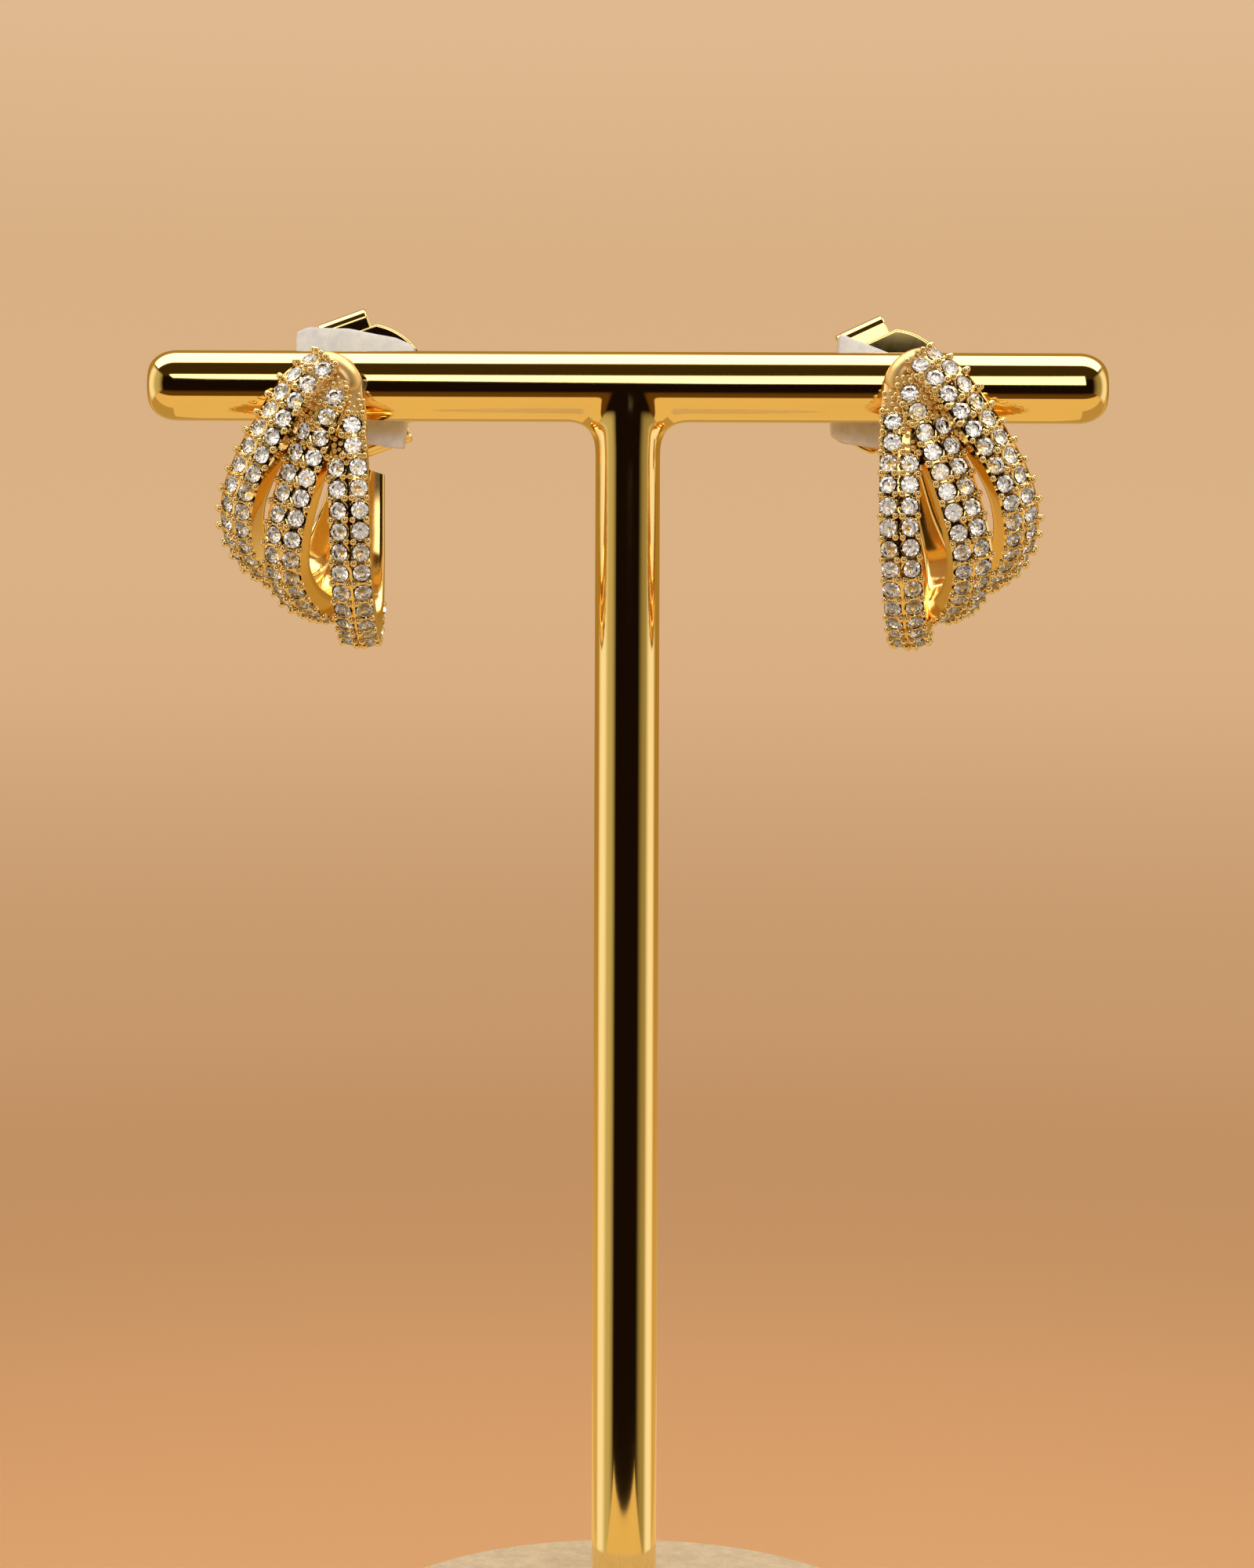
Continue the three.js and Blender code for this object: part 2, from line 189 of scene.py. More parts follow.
class GoldLooks(bpy.types.PropertyGroup):
    plating: bpy.props.FloatVectorProperty(
        name="Plating", description="Colour of the polished gold", size=3, subtype="COLOR",
        default=(1.0, 0.74, 0.3),
    )
    casting: bpy.props.FloatVectorProperty(
        name="Casting", description="Colour of the hoops' gold", size=3, subtype="COLOR",
        default=(1.0, 0.7, 0.27),
    )
    gloss: bpy.props.FloatProperty(
        name="Polish", description="Roughness of the polished gold", default=0.045, min=0, max=1
    )


class PaveSizes(bpy.types.PropertyGroup):
    stone: bpy.props.FloatProperty(
        name="Stone", description="Diameter of one stone", default=0.00107, unit="LENGTH"
    )
    pitch: bpy.props.FloatProperty(
        name="Pitch", description="Distance from row to row", default=0.00131, unit="LENGTH"
    )
    column: bpy.props.FloatProperty(
        name="Column", description="Each column's distance from the band's middle", default=0.00061,
        unit="LENGTH",
    )
    bead: bpy.props.FloatProperty(
        name="Bead", description="Radius of the beads that hold the stones", default=0.00022, unit="LENGTH"
    )


class FoamLooks(bpy.types.PropertyGroup):
    colour: bpy.props.FloatVectorProperty(
        name="Foam colour", description="Colour of the cut foam pads", size=3, subtype="COLOR",
        default=(0.79, 0.87, 0.98),
    )
    edge: bpy.props.FloatProperty(
        name="Edge", description="Softness of the pads' cut edges", default=0.00018, unit="LENGTH"
    )


class StageLooks(bpy.types.PropertyGroup):
    floor: bpy.props.FloatProperty(
        name="Floor", description="Radius of the flat floor before it sweeps up", default=0.16, unit="LENGTH"
    )
    bend: bpy.props.FloatProperty(
        name="Bend", description="Radius of the sweep from floor to wall", default=0.35, unit="LENGTH"
    )
    lens: bpy.props.FloatProperty(
        name="Lens", description="Focal length in millimetres", default=73.3, min=1
    )


# ---------------------------------------------------------------- mesh tools


def finished(name, bm, materials, sharp=None):
    """The bmesh, in millimetres, as an object in metres, smooth up to an angle if one is given."""
    bmesh.ops.transform(bm, matrix=Matrix.Scale(MM, 4), verts=bm.verts)
    if sharp is not None:
        soften(bm, sharp)
    mesh = template(bm, name)
    for material in materials:
        mesh.materials.append(material)
    obj = bpy.data.objects.new(name, mesh)
    bpy.context.scene.collection.objects.link(obj)
    return obj


def soften(bm, sharp):
    """Smooth faces, with each edge over the angle kept sharp; a large flat face stays flat."""
    limit = math.radians(sharp)
    for face in bm.faces:
        face.smooth = len(face.verts) < 12
    for edge in bm.edges:
        edge.smooth = edge.is_manifold and edge.calc_face_angle(0) < limit


def arc(centre, radii, start, end, steps):
    """Points on a quarter or other part of an ellipse, in two dimensions; angles in degrees."""
    turns = [math.radians(start + (end - start) * i / steps) for i in range(steps + 1)]
    return [(centre[0] + radii[0] * math.cos(t), centre[1] + radii[1] * math.sin(t)) for t in turns]


def turned(profile, segments):
    """A profile of (radius, height) points turned round the upright axis, as a closed bmesh."""
    bm = bmesh.new()
    verts = [bm.verts.new((r, 0, h)) for r, h in profile]
    edges = [bm.edges.new(pair) for pair in zip(verts, verts[1:])]
    bmesh.ops.spin(
        bm, geom=verts + edges, cent=(0, 0, 0), axis=(0, 0, 1), dvec=(0, 0, 0), angle=2 * math.pi,
        space=Matrix.Identity(4), steps=segments, use_merge=True, use_normal_flip=False,
        use_duplicate=False,
    )
    closed(bm, 1e-5)
    return bm


def closed(bm, reach=1e-4):
    """Merges what meets and turns the faces outwards."""
    bmesh.ops.remove_doubles(bm, verts=bm.verts, dist=reach)
    bmesh.ops.recalc_face_normals(bm, faces=bm.faces)


def skinned(bm, rings, first=True, last=True):
    """A closed section extruded from ring to ring, with its first and last ends filled or left open."""
    ring = [bm.verts.new(p) for p in rings[0]]
    start = edges = [bm.edges.new(pair) for pair in zip(ring, ring[1:] + ring[:1])]
    for points in rings[1:]:
        grown = bmesh.ops.extrude_edge_only(bm, edges=edges)["geom"]
        index = {vert: i for i, vert in enumerate(ring)}
        fresh = {g for g in grown if isinstance(g, bmesh.types.BMVert)}
        for vert in fresh:
            old = next(e.other_vert(vert) for e in vert.link_edges if e.other_vert(vert) in index)
            ring[index[old]] = vert
        for vert, point in zip(ring, points):
            vert.co = point
        edges = [g for g in grown if isinstance(g, bmesh.types.BMEdge) and fresh.issuperset(g.verts)]
    if first:
        bmesh.ops.edgeloop_fill(bm, edges=start)
    if last:
        bmesh.ops.edgeloop_fill(bm, edges=edges)


def rod(radius, depth, segments, place):
    """A plain round rod along y, with its middle at a place."""
    bm = bmesh.new()
    bmesh.ops.create_cone(
        bm, cap_ends=True, segments=segments, radius1=radius, radius2=radius, depth=depth,
        matrix=place @ Matrix.Rotation(math.pi / 2, 4, "X"),
    )
    return bm


def template(bm, name):
    """The bmesh as a mesh; it is freed."""
    mesh = bpy.data.meshes.new(name)
    bm.to_mesh(mesh)
    bm.free()
    return mesh


def joined(bm, other):
    """Adds another bmesh to this one and frees it."""
    mesh = template(other, "part")
    bm.from_mesh(mesh)
    bpy.data.meshes.remove(mesh)


def stamp(bm, shape, place):
    """Adds one copy of a mesh at a place."""
    have = len(bm.verts)
    bm.from_mesh(shape)
    bm.verts.ensure_lookup_table()
    bmesh.ops.transform(bm, matrix=place, verts=bm.verts[have:])


def drilled(bm, drills):
    """The bmesh with holes where the drills go through it."""
    objs = []
    for i, piece in enumerate([bm, *drills]):
        obj = bpy.data.objects.new(f"work_{i}", template(piece, f"work_{i}"))
        bpy.context.scene.collection.objects.link(obj)
        objs.append(obj)
    for tool in objs[1:]:
        cut = objs[0].modifiers.new("cut", "BOOLEAN")
        cut.operation = "DIFFERENCE"
        cut.solver = "EXACT"
        cut.object = tool
    bpy.context.view_layer.update()
    graph = bpy.context.evaluated_depsgraph_get()
    result = bmesh.new()
    result.from_mesh(objs[0].evaluated_get(graph).to_mesh())
    for obj in objs:
        mesh = obj.data
        bpy.data.objects.remove(obj)
        bpy.data.meshes.remove(mesh)
    return result


# ---------------------------------------------------------------- materials


def feed(tree, socket, given):
    """Links another node's output to a socket, or sets the socket's own value."""
    if isinstance(given, bpy.types.NodeSocket):
        tree.links.new(given, socket)
    else:
        socket.default_value = given


def node(tree, kind, feeds=None, **settings):
    """A new node with its settings; its inputs are fed by name or number."""
    made = tree.nodes.new(kind)
    for key, value in settings.items():
        setattr(made, key, value)
    for key, value in (feeds or {}).items():
        feed(tree, made.inputs[key], value)
    return made


def clouds(tree, vector, scale, detail, roughness):
    """A noise pattern from 0 to 1."""
    feeds = {"Vector": vector, "Scale": scale, "Detail": detail, "Roughness": roughness}
    return node(tree, "ShaderNodeTexNoise", feeds).outputs["Fac"]


def scaled_sum(tree, value, factor, added):
    """A value times a factor, plus another value."""
    return node(tree, "ShaderNodeMath", {0: value, 1: factor, 2: added}, operation="MULTIPLY_ADD").outputs[0]


def blended(tree, mask, low, high, **settings):
    """The second colour over the first, as far as the mask says."""
    low, high = [(*colour, 1) if isinstance(colour, tuple) else colour for colour in (low, high)]
    return node(tree, "ShaderNodeMix", {0: mask, 6: low, 7: high}, data_type="RGBA", **settings).outputs[2]


def ramped(tree, mask, stops):
    """A colour that runs from stop to stop with the mask."""
    ramp = node(tree, "ShaderNodeValToRGB", {"Fac": mask})
    elements = ramp.color_ramp.elements
    while len(elements) < len(stops):
        elements.new(0.5)
    for element, (position, colour) in zip(elements, stops):
        element.position = position
        element.color = (*colour, 1)
    return ramp.outputs["Color"]


def once(kept, name):
    """Marks a maker: its thing is made at the first use, and the same one is given at the next."""

    def mark(make):
        return lambda: getattr(bpy.data, kept).get(name) or make(name)

    return mark


def group_tree(name, numbers, outputs):
    """A shader node group: a vector and named numbers go in, named masks come out."""
    tree = bpy.data.node_groups.new(name, "ShaderNodeTree")
    tree.interface.new_socket("Vector", in_out="INPUT", socket_type="NodeSocketVector")
    for label, value in numbers.items():
        socket = tree.interface.new_socket(label, in_out="INPUT", socket_type="NodeSocketFloat")
        socket.default_value = value
    for label in outputs:
        tree.interface.new_socket(label, in_out="OUTPUT", socket_type="NodeSocketFloat")
    return tree, tree.nodes.new("NodeGroupInput").outputs, tree.nodes.new("NodeGroupOutput").inputs


@once("node_groups", "polish marks")
def polish_group(name):
    """Slow waves and faint cloth marks left by polishing: a height and a roughness."""
    numbers = {"Wave": 120, "Marks": 2500, "Roughness": 0.05, "Spread": 0.05}
    tree, given, out = group_tree(name, numbers, ("Height", "Roughness"))
    feed(tree, out["Height"], clouds(tree, given["Vector"], given["Wave"], 1, 0.4))
    marks = clouds(tree, given["Vector"], given["Marks"], 3, 0.6)
    feed(tree, out["Roughness"], scaled_sum(tree, marks, given["Spread"], given["Roughness"]))
    return tree


@once("node_groups", "grain")
def grain_group(name):
    """Fine grain at two sizes: a height, and a mask for lighter and darker specks."""
    tree, given, out = group_tree(name, {"Fine": 3000, "Coarse": 700}, ("Height", "Fine", "Coarse"))
    fine = clouds(tree, given["Vector"], given["Fine"], 4, 0.7)
    coarse = clouds(tree, given["Vector"], given["Coarse"], 3, 0.55)
    height = scaled_sum(tree, coarse, 0.6, fine)
    for label, mask in (("Height", height), ("Fine", fine), ("Coarse", coarse)):
        feed(tree, out[label], mask)
    return tree


def blank_material(name, **values):
    """A material whose shader has these values of its own, with Object coordinates ready."""
    material = bpy.data.materials.new(name)
    material.use_nodes = True
    tree = material.node_tree
    tree.nodes.clear()
    values = {key.replace("_", " "): value for key, value in values.items()}
    shader = node(tree, "ShaderNodeBsdfPrincipled", values)
    node(tree, "ShaderNodeOutputMaterial", {"Surface": shader.outputs["BSDF"]})
    return material, tree, shader.inputs, node(tree, "ShaderNodeTexCoord").outputs["Object"]


def use_group(tree, group, vector, **values):
    """A node group placed in a material with the material's own values."""
    return node(tree, "ShaderNodeGroup", {"Vector": vector, **values}, node_tree=group).outputs


def bumped(tree, height, shader, strength, distance):
    """Fine relief from a height."""
    feeds = {"Height": height, "Strength": strength, "Distance": distance}
    feed(tree, shader["Normal"], node(tree, "ShaderNodeBump", feeds).outputs["Normal"])


def tinted(tree, shader, mask, low, high, places=(0.3, 0.7)):
    """Base colour between two colours by a mask."""
    feed(tree, shader["Base Color"], ramped(tree, mask, [*zip(places, (low, high))]))


def shade(colour, factor):
    """The colour made lighter or darker."""
    return tuple(min(1, c * factor) for c in colour)


def gold(name, colour, roughness, wave, waviness, metallic=1):
    """Polished gold plate with slow waves in its reflections."""
    if name in bpy.data.materials:
        return bpy.data.materials[name]
    material, tree, shader, coords = blank_material(name, Metallic=metallic)
    marks = use_group(tree, polish_group(), coords, Wave=wave, Roughness=roughness, Spread=0.04)
    tinted(tree, shader, marks["Height"], shade(colour, 0.97), colour)
    feed(tree, shader["Roughness"], marks["Roughness"])
    bumped(tree, marks["Height"], shader, 1, waviness)
    return material


def plating_gold():
    """Bright plate of the stand and the clutches."""
    looks = bpy.context.scene.gold_looks
    return gold("plated gold", tuple(looks.plating), looks.gloss, 110, 2e-5)


def hoop_golds():
    """Golds of the hoops: the castings, the beads and the satin head."""
    looks = bpy.context.scene.gold_looks
    return [
        gold("cast gold", tuple(looks.casting), looks.gloss + 0.06, 500, 1e-5),
        # the beads' gold is a paler copy of the casting gold, partly matt: painted highlight that makes the
        # beads look brighter and creamier
        gold("bead gold", (1, 0.76, 0.36), 0.12, 900, 6e-6, 0.88),
        gold("satin gold", (1, 0.7, 0.3), 0.36, 400, 2e-5, 0.85),
    ]


@once("materials", "clear stone")
def stone_material(name):
    """Clear cut stone, with the warm floor's reflection painted into its colour: a little warmer and darker
    the lower it sits.
    """
    material, tree, shader, coords = blank_material(name, Transmission_Weight=1, IOR=2.0)
    marks = use_group(tree, polish_group(), coords, Wave=900, Roughness=0, Spread=0.01)
    # painted reflection of the warm floor: the stone's colour runs darker and warmer towards the lowest
    # stones
    height = node(tree, "ShaderNodeSeparateXYZ", {0: coords}).outputs["Z"]
    feeds = {"Value": height, "From Min": 0.0705, "From Max": 0.083}
    level = node(tree, "ShaderNodeMapRange", feeds).outputs["Result"]
    tinted(tree, shader, level, (0.76, 0.68, 0.6), (1, 0.99, 0.98), (0, 1))
    feed(tree, shader["Roughness"], marks["Roughness"])
    return material


@once("materials", "stone back")
def stone_back_material(name):
    """Silvered back of a stone, which sends the light back through its top."""
    material, tree, shader, coords = blank_material(name, Metallic=1)
    marks = use_group(tree, polish_group(), coords, Wave=900, Roughness=0.02, Spread=0.03)
    tinted(tree, shader, marks["Height"], (0.92, 0.9, 0.9), (1.0, 0.985, 0.98))
    feed(tree, shader["Roughness"], marks["Roughness"])
    return material


@once("materials", "white foam")
def foam_material(name):
    """Matt cut foam with fine cells, which light goes a little way into."""
    colour = tuple(bpy.context.scene.foam_looks.colour)
    material, tree, shader, coords = blank_material(
        name, Roughness=0.75, Subsurface_Weight=0.35, Subsurface_Radius=(0.0009, 0.0008, 0.0008),
        Subsurface_Scale=1,
    )
    cells = use_group(tree, grain_group(), coords, Fine=9000, Coarse=1500)
    tinted(tree, shader, cells["Coarse"], shade(colour, 0.9), shade(colour, 1.08))
    bumped(tree, cells["Height"], shader, 0.25, 6e-5)
    return material


@once("materials", "speckled foot")
def foot_material(name):
    """Pale cast stone with light and dark specks."""
    colour = tuple(bpy.context.scene.stand_sizes.foot_colour)
    material, tree, shader, coords = blank_material(name, Roughness=0.85)
    grain = use_group(tree, grain_group(), coords, Fine=3200, Coarse=900)
    fine = node(tree, "ShaderNodeMath", {0: grain["Fine"], 1: 0.45}, operation="MULTIPLY").outputs[0]
    specks = scaled_sum(tree, grain["Coarse"], 0.55, fine)
    tinted(tree, shader, specks, shade(colour, 0.84), shade(colour, 1.1), (0.36, 0.64))
    bumped(tree, grain["Height"], shader, 0.5, 1.2e-4)
    return material


# ---------------------------------------------------------------- the stand

# Directions round a tube, and where the rings of the joint stand on the way to the mitre.
ROUND = [(math.sin(math.pi * i / 72), -math.cos(math.pi * i / 72)) for i in range(144)]
JOINT_STEPS = (0, 0.2, 0.36, 0.5, 0.6, 0.68, 0.75, 0.81, 0.86, 0.9, 0.935, 0.965, 0.985)
JOINT_REACH = 5.5
# Rings up the stem and along the bar outside the joint, and the length and drop of the bar's round end.
STEM_HEIGHTS = (0, 6, 20, 40, 60, 70, 75)
BAR_PLACES = (26, 22, 18.6, 17.6, 16, 15, 10, 7)
END_LENGTH, END_DROP = 1.8, 0.9
# The stem widens by the collar between two heights under the bar's axis.
COLLAR, COLLAR_LOW, COLLAR_HIGH = 0.15, -4.5, -1.8
FILLET_REACH = 1.1
# Rounding of the foot's lower edge, and the bevel round its socket: its width and depth.
LOWER_RIM, SOCKET_EDGE = 0.5, (0.25, 0.2)


class JEWEL_OT_t_bar(bpy.types.Operator):
    """Builds bar and stem as one skin with its corners filled round, and drills the bar for the posts"""

    bl_idname = "jewel.t_bar"
    bl_label = "T-bar"

    def execute(self, context):
        sizes = context.scene.stand_sizes
        metal = JointMetal(sizes.stem_radius / MM, sizes.fillet / MM)
        body = bmesh.new()
        for rings in (self.stem_rings(metal), self.bar_rings(metal, -1), self.bar_rings(metal, 1)):
            skinned(body, rings, last=False)
        closed(body)
        bmesh.ops.translate(body, verts=body.verts, vec=(0, 0, BAR_AXIS))
        places = [Matrix.Translation((side * POST_X, 0, BAR_AXIS)) for side in (-1, 1)]
        body = drilled(body, [rod(BAR_HOLE, 4 * BAR_RADIUS, 40, place) for place in places])
        bmesh.ops.remove_doubles(body, verts=body.verts, dist=1e-4)
        piece = finished("t_bar", body, [plating_gold()], 28)
        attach(piece, STAND)
        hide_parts("stand_tbar")
        return {"FINISHED"}

    def stem_rings(self, metal):
        """Rings up the stem; the last ones rise into the mitre with the bar."""
        heights = [STEM_FOOT - BAR_AXIS + h for h in STEM_HEIGHTS]
        rings = [[(metal.stem * x, metal.stem * y, h) for x, y in ROUND] for h in heights]
        top = [metal.surface((0, 0, 0), (x, y, -abs(x))) for x, y in ROUND]
        for part in JOINT_STEPS:
            starts = [(0, 0, mix(-JOINT_REACH, mitre[2], part)) for mitre in top]
            rings.append([metal.surface(start, (x, y, 0)) for start, (x, y) in zip(starts, ROUND)])
        return rings + [top]

    def bar_rings(self, metal, side):
        """Rings along half of the bar, from its rounded end to the mitre in the middle."""
        middle, radii = (END_DROP, BAR_HALF - END_LENGTH), (BAR_RADIUS - END_DROP, END_LENGTH)
        profile = arc(middle, radii, 90, 0, 16) + [(BAR_RADIUS, x) for x in BAR_PLACES]
        rings = [[(side * x, r * y, -r * z) for z, y in ROUND] for r, x in profile]
        top = [metal.surface((0, 0, 0), (side * max(z, 0), y, -z)) for z, y in ROUND]
        for part in JOINT_STEPS:
            starts = [(mix(side * JOINT_REACH, mitre[0], part), 0, 0) for mitre in top]
            rings.append([metal.surface(start, (0, y, -z)) for start, (z, y) in zip(starts, ROUND)])
        return rings + [top]


class JointMetal:
    """The metal where the stem meets the bar, its inner corner filled round; the middle is (0, 0, 0)."""

    def __init__(self, stem, fillet):
        self.stem, self.fillet = stem, fillet

    def outside(self, x, y, z):
        """How far a place is outside the metal; below zero it is inside."""
        bar = math.hypot(y, z) - BAR_RADIUS
        if z > 0:
            return bar
        radius = math.hypot(x, y)
        stem = radius - self.stem - COLLAR * smoothstep(z, COLLAR_LOW, COLLAR_HIGH)
        square = 1 - y * y / (radius * math.hypot(y, z) + 1e-9)
        blend = FILLET_REACH * self.fillet * square + 1e-6
        return min(stem, bar) - max(blend - abs(stem - bar), 0) ** 2 / (4 * blend)

    def surface(self, start, way):
        """Where a line from inside comes out of the metal."""
        low, high = 0.5, 6
        for _ in range(26):
            middle = (low + high) / 2
            inside = self.outside(*[a + middle * b for a, b in zip(start, way)]) < 0
            low, high = (middle, high) if inside else (low, middle)
        return tuple(a + low * b for a, b in zip(start, way))


class JEWEL_OT_foot(bpy.types.Operator):
    """Turns the round speckled foot with its socket"""

    bl_idname = "jewel.foot"
    bl_label = "Foot"

    def execute(self, context):
        sizes = context.scene.stand_sizes
        radius, rim = sizes.foot_radius / MM, sizes.foot_rim / MM
        socket = sizes.stem_radius / MM + GAP
        floor = STEM_FOOT - GAP
        low = LOWER_RIM
        profile = [(0, 0), (8, 0), (radius - low, 0), *arc((radius - low, low), (low, low), -80, 0, 5)]
        profile += [(radius, 3), (radius, 6), *arc((radius - rim, FOOT_TOP - rim), (rim, rim), 0, 90, 10)]
        profile += [(r, FOOT_TOP) for r in (14, 12, 8, 4, socket + SOCKET_EDGE[0])]
        profile += [(socket, FOOT_TOP - SOCKET_EDGE[1]), (socket, floor), (0, floor)]
        piece = finished("foot", turned(profile, 160), [foot_material()], 50)
        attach(piece, STAND)
        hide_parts("stand_base")
        return {"FINISHED"}


# ---------------------------------------------------------------- the hoops


def spline(points, t):
    """A point on the centripetal Catmull-Rom curve through the points, t from 0 to 1."""
    last = len(points) - 1
    index = min(int(last * t), last - 1)
    w = last * t - index
    p1, p2 = points[index], points[index + 1]
    p0 = points[index - 1] if index > 0 else 2 * p1 - p2
    p3 = points[index + 2] if index + 2 <= last else 2 * p2 - p1
    d0, d1, d2 = (math.sqrt((b - a).length) for a, b in ((p0, p1), (p1, p2), (p2, p3)))
    t1 = ((p1 - p0) / d0 - (p2 - p0) / (d0 + d1) + (p2 - p1) / d1) * d1
    t2 = ((p2 - p1) / d1 - (p3 - p1) / (d1 + d2) + (p3 - p2) / d2) * d1
    return p1 + t1 * w + (3 * (p2 - p1) - 2 * t1 - t2) * w**2 + (2 * (p1 - p2) + t1 + t2) * w**3


class Line:
    """A smooth line through points, measured along its length."""

    def __init__(self, points, samples=600):
        points = [Vector(p) for p in points]
        self.at = [spline(points, i / samples) for i in range(samples + 1)]
        self.run = [0]
        for a, b in zip(self.at, self.at[1:]):
            self.run.append(self.run[-1] + (b - a).length)
        self.length = self.run[-1]

    def point(self, s):
        """The place at a length along the line."""
        s = min(max(s, 0), self.length)
        i = min(max(bisect.bisect_right(self.run, s) - 1, 0), len(self.at) - 2)
        part = (s - self.run[i]) / (self.run[i + 1] - self.run[i])
        return self.at[i].lerp(self.at[i + 1], part)

    def tangent(self, s):
        """The direction of the line at a length along it."""
        step = 0.05
        return (self.point(s + step) - self.point(s - step)).normalized()


def axes_at(line, s, core):
    """A place on a line, and the directions across it, along it and out from its core."""
    place, along = line.point(s), line.tangent(s)
    out = place - core
    out = (out - along * out.dot(along)).normalized()
    return place, along.cross(out), along, out


def band_frame(hoop, line, s):
    """Place on a band: x across it, y along it, z out of its face."""
    place, across, along, out = axes_at(line, s, Vector(hoop["core"]))
    frame_at = Matrix((across, along, out)).transposed().to_4x4()
    frame_at.translation = place
    return frame_at


def crown(hoop, x):
    """Height of the rounded outer face, which stands proud in its middle."""
    return CROWN_RISE - hoop["crown"] * x * x


def far_side(hoop, line, s, half):
    """Half width on a band's outer side, which is a little wider in front."""
    part = s / line.length
    spread = hoop["spread"] * smoothstep(part, 0, 0.08) * (1 - smoothstep(part, 0.4, 0.65))
    return half * (1 + spread / (BAND_WIDTH / 2))


def smoothstep(x, low, high):
    """A soft step from 0 at low to 1 at high."""
    t = min(max((x - low) / (high - low), 0), 1)
    return t * t * (3 - 2 * t)


def mix(a, b, t):
    """A value on the way from a to b."""
    return a + (b - a) * t


def band_size(line, s):
    """Half width and thickness of a band at a length along it."""
    along = s / line.length
    behind = smoothstep(along, 0.5, 0.95)
    begun = mix(BAND_START, 1, smoothstep(along, 0, 0.05))
    return begun * mix(BAND_WIDTH, TIP_WIDTH, behind) / 2, mix(BAND_THICKNESS, TIP_THICKNESS, behind)


def columns_of(hoop, sizes, row):
    """Where the stones of one row stand across the band."""
    column = sizes.column / MM
    if row < hoop["single_rows"]:
        return (LONE_PLACE,)
    return (-column + hoop["shift"][0], column + hoop["shift"][1])


def band_rings(hoop, line, sizes):
    """Sections of one band: a seat is sunk for every stone, and the band is plain behind."""
    pitch = sizes.pitch / MM
    begin = hoop["first_row"] - pitch / 2
    paved_end = begin + hoop["rows"] * pitch
    stations = [(begin * part, 0, ()) for part in (0, 0.35, 0.7)]
    for row in range(hoop["rows"]):
        columns = columns_of(hoop, sizes, row)
        stations += [(begin + (row + 0.5 + step) * pitch, step * pitch, columns) for step in ROW_STEPS]
    count = int((line.length - paved_end) / 0.4)
    stations += [(mix(paved_end, line.length, i / count), 0, ()) for i in range(count + 1)]
    rings = []
    for s, t, columns in stations:
        place = band_frame(hoop, line, s)
        ring = band_section(hoop, line, s, t, columns, sizes)
        rings.append([place @ Vector((x, 0, z)) for x, z in ring])
    return rings


def seat(x, t, radius):
    """Depth of a stone's seat, a cone a little wider than the stone."""
    inside = radius + SEAT_ROOM - math.hypot(x, t)
    return SEAT_DEPTH + SEAT_SLOPE * inside if inside > 0 else 0


def band_section(hoop, line, s, t, columns, sizes):
    """One ring of a band: the seats in its outer face, a rounded inner face."""
    half, thick = band_size(line, s)
    far = far_side(hoop, line, s, half)
    outer = []
    for i in range(ACROSS + 1):
        x = mix(-half, far, i / ACROSS)
        depth = max([seat(x - column, t, sizes.stone / MM / 2) for column in columns], default=0)
        depth = max(depth, EDGE_CUT if i in (0, ACROSS) else 0)
        outer.append((x, crown(hoop, x) - depth))
    belly = [(x, -thick * y) for x, y in INNER_FACE]
    return outer + [(far * x, y) for x, y in belly] + [(-half * x, y) for x, y in reversed(belly)]


def brilliant(diameter):
    """A round brilliant cut from a short cylinder, facet by facet, girdle at z = 0."""
    radius, girdle = diameter / 2, 0.012 * diameter
    bm = bmesh.new()
    bmesh.ops.create_cone(
        bm, cap_ends=True, segments=16, radius1=radius, radius2=radius, depth=2 * diameter
    )
    side = radius * math.cos(math.radians(11.25))
    table = 0.15 * diameter + girdle
    star = 0.282 * diameter * math.cos(math.radians(22.5))
    cut_facet(bm, 0, 0, 0, table)
    for i in range(8):
        cut_facet(bm, 34.5, 45 * i, radius, girdle)
        cut_facet(bm, 180 - 41, 45 * i, radius, -girdle)
        cut_facet(bm, 22, 45 * i + 22.5, star, table)
    for i in range(16):
        cut_facet(bm, 42, 22.5 * i + 11.25, side, girdle)
    bmesh.ops.recalc_face_normals(bm, faces=bm.faces)
    for face in bm.faces:
        face.material_index = 1 if face.normal.z < -0.3 else 0
        face.smooth = False
    return bm


def cut_facet(bm, tilt, azimuth, radius, height):
    """Grinds one flat facet: everything outside its plane goes."""
    tilt, azimuth = math.radians(tilt), math.radians(azimuth)
    around = Vector((math.cos(azimuth), math.sin(azimuth), 0))
    normal = around * math.sin(tilt) + Vector((0, 0, math.cos(tilt)))
    cut_off(bm, bm.verts[:] + bm.edges[:] + bm.faces[:], around * radius + Vector((0, 0, height)), normal)


def cut_off(bm, parts, place, normal):
    """Cuts away what is outside a plane, and fills the cut."""
    cut = bmesh.ops.bisect_plane(
        bm, geom=parts, dist=1e-6, plane_co=place, plane_no=normal, clear_outer=True
    )["geom_cut"]
    edges = [g for g in cut if isinstance(g, bmesh.types.BMEdge) and g.is_boundary]
    if edges:
        bmesh.ops.contextual_create(bm, geom=edges)


def bead_shape(radius):
    """A round bead on a short stalk."""
    bm = bmesh.new()
    bmesh.ops.create_icosphere(bm, subdivisions=2, radius=radius)
    neck, foot = -0.3 * radius, -2.6 * radius
    for vert in bm.verts:
        if vert.co.z < neck:
            vert.co.z = mix(vert.co.z, foot, (neck - vert.co.z) / (radius + neck))
    soften(bm, 60)
    return bm


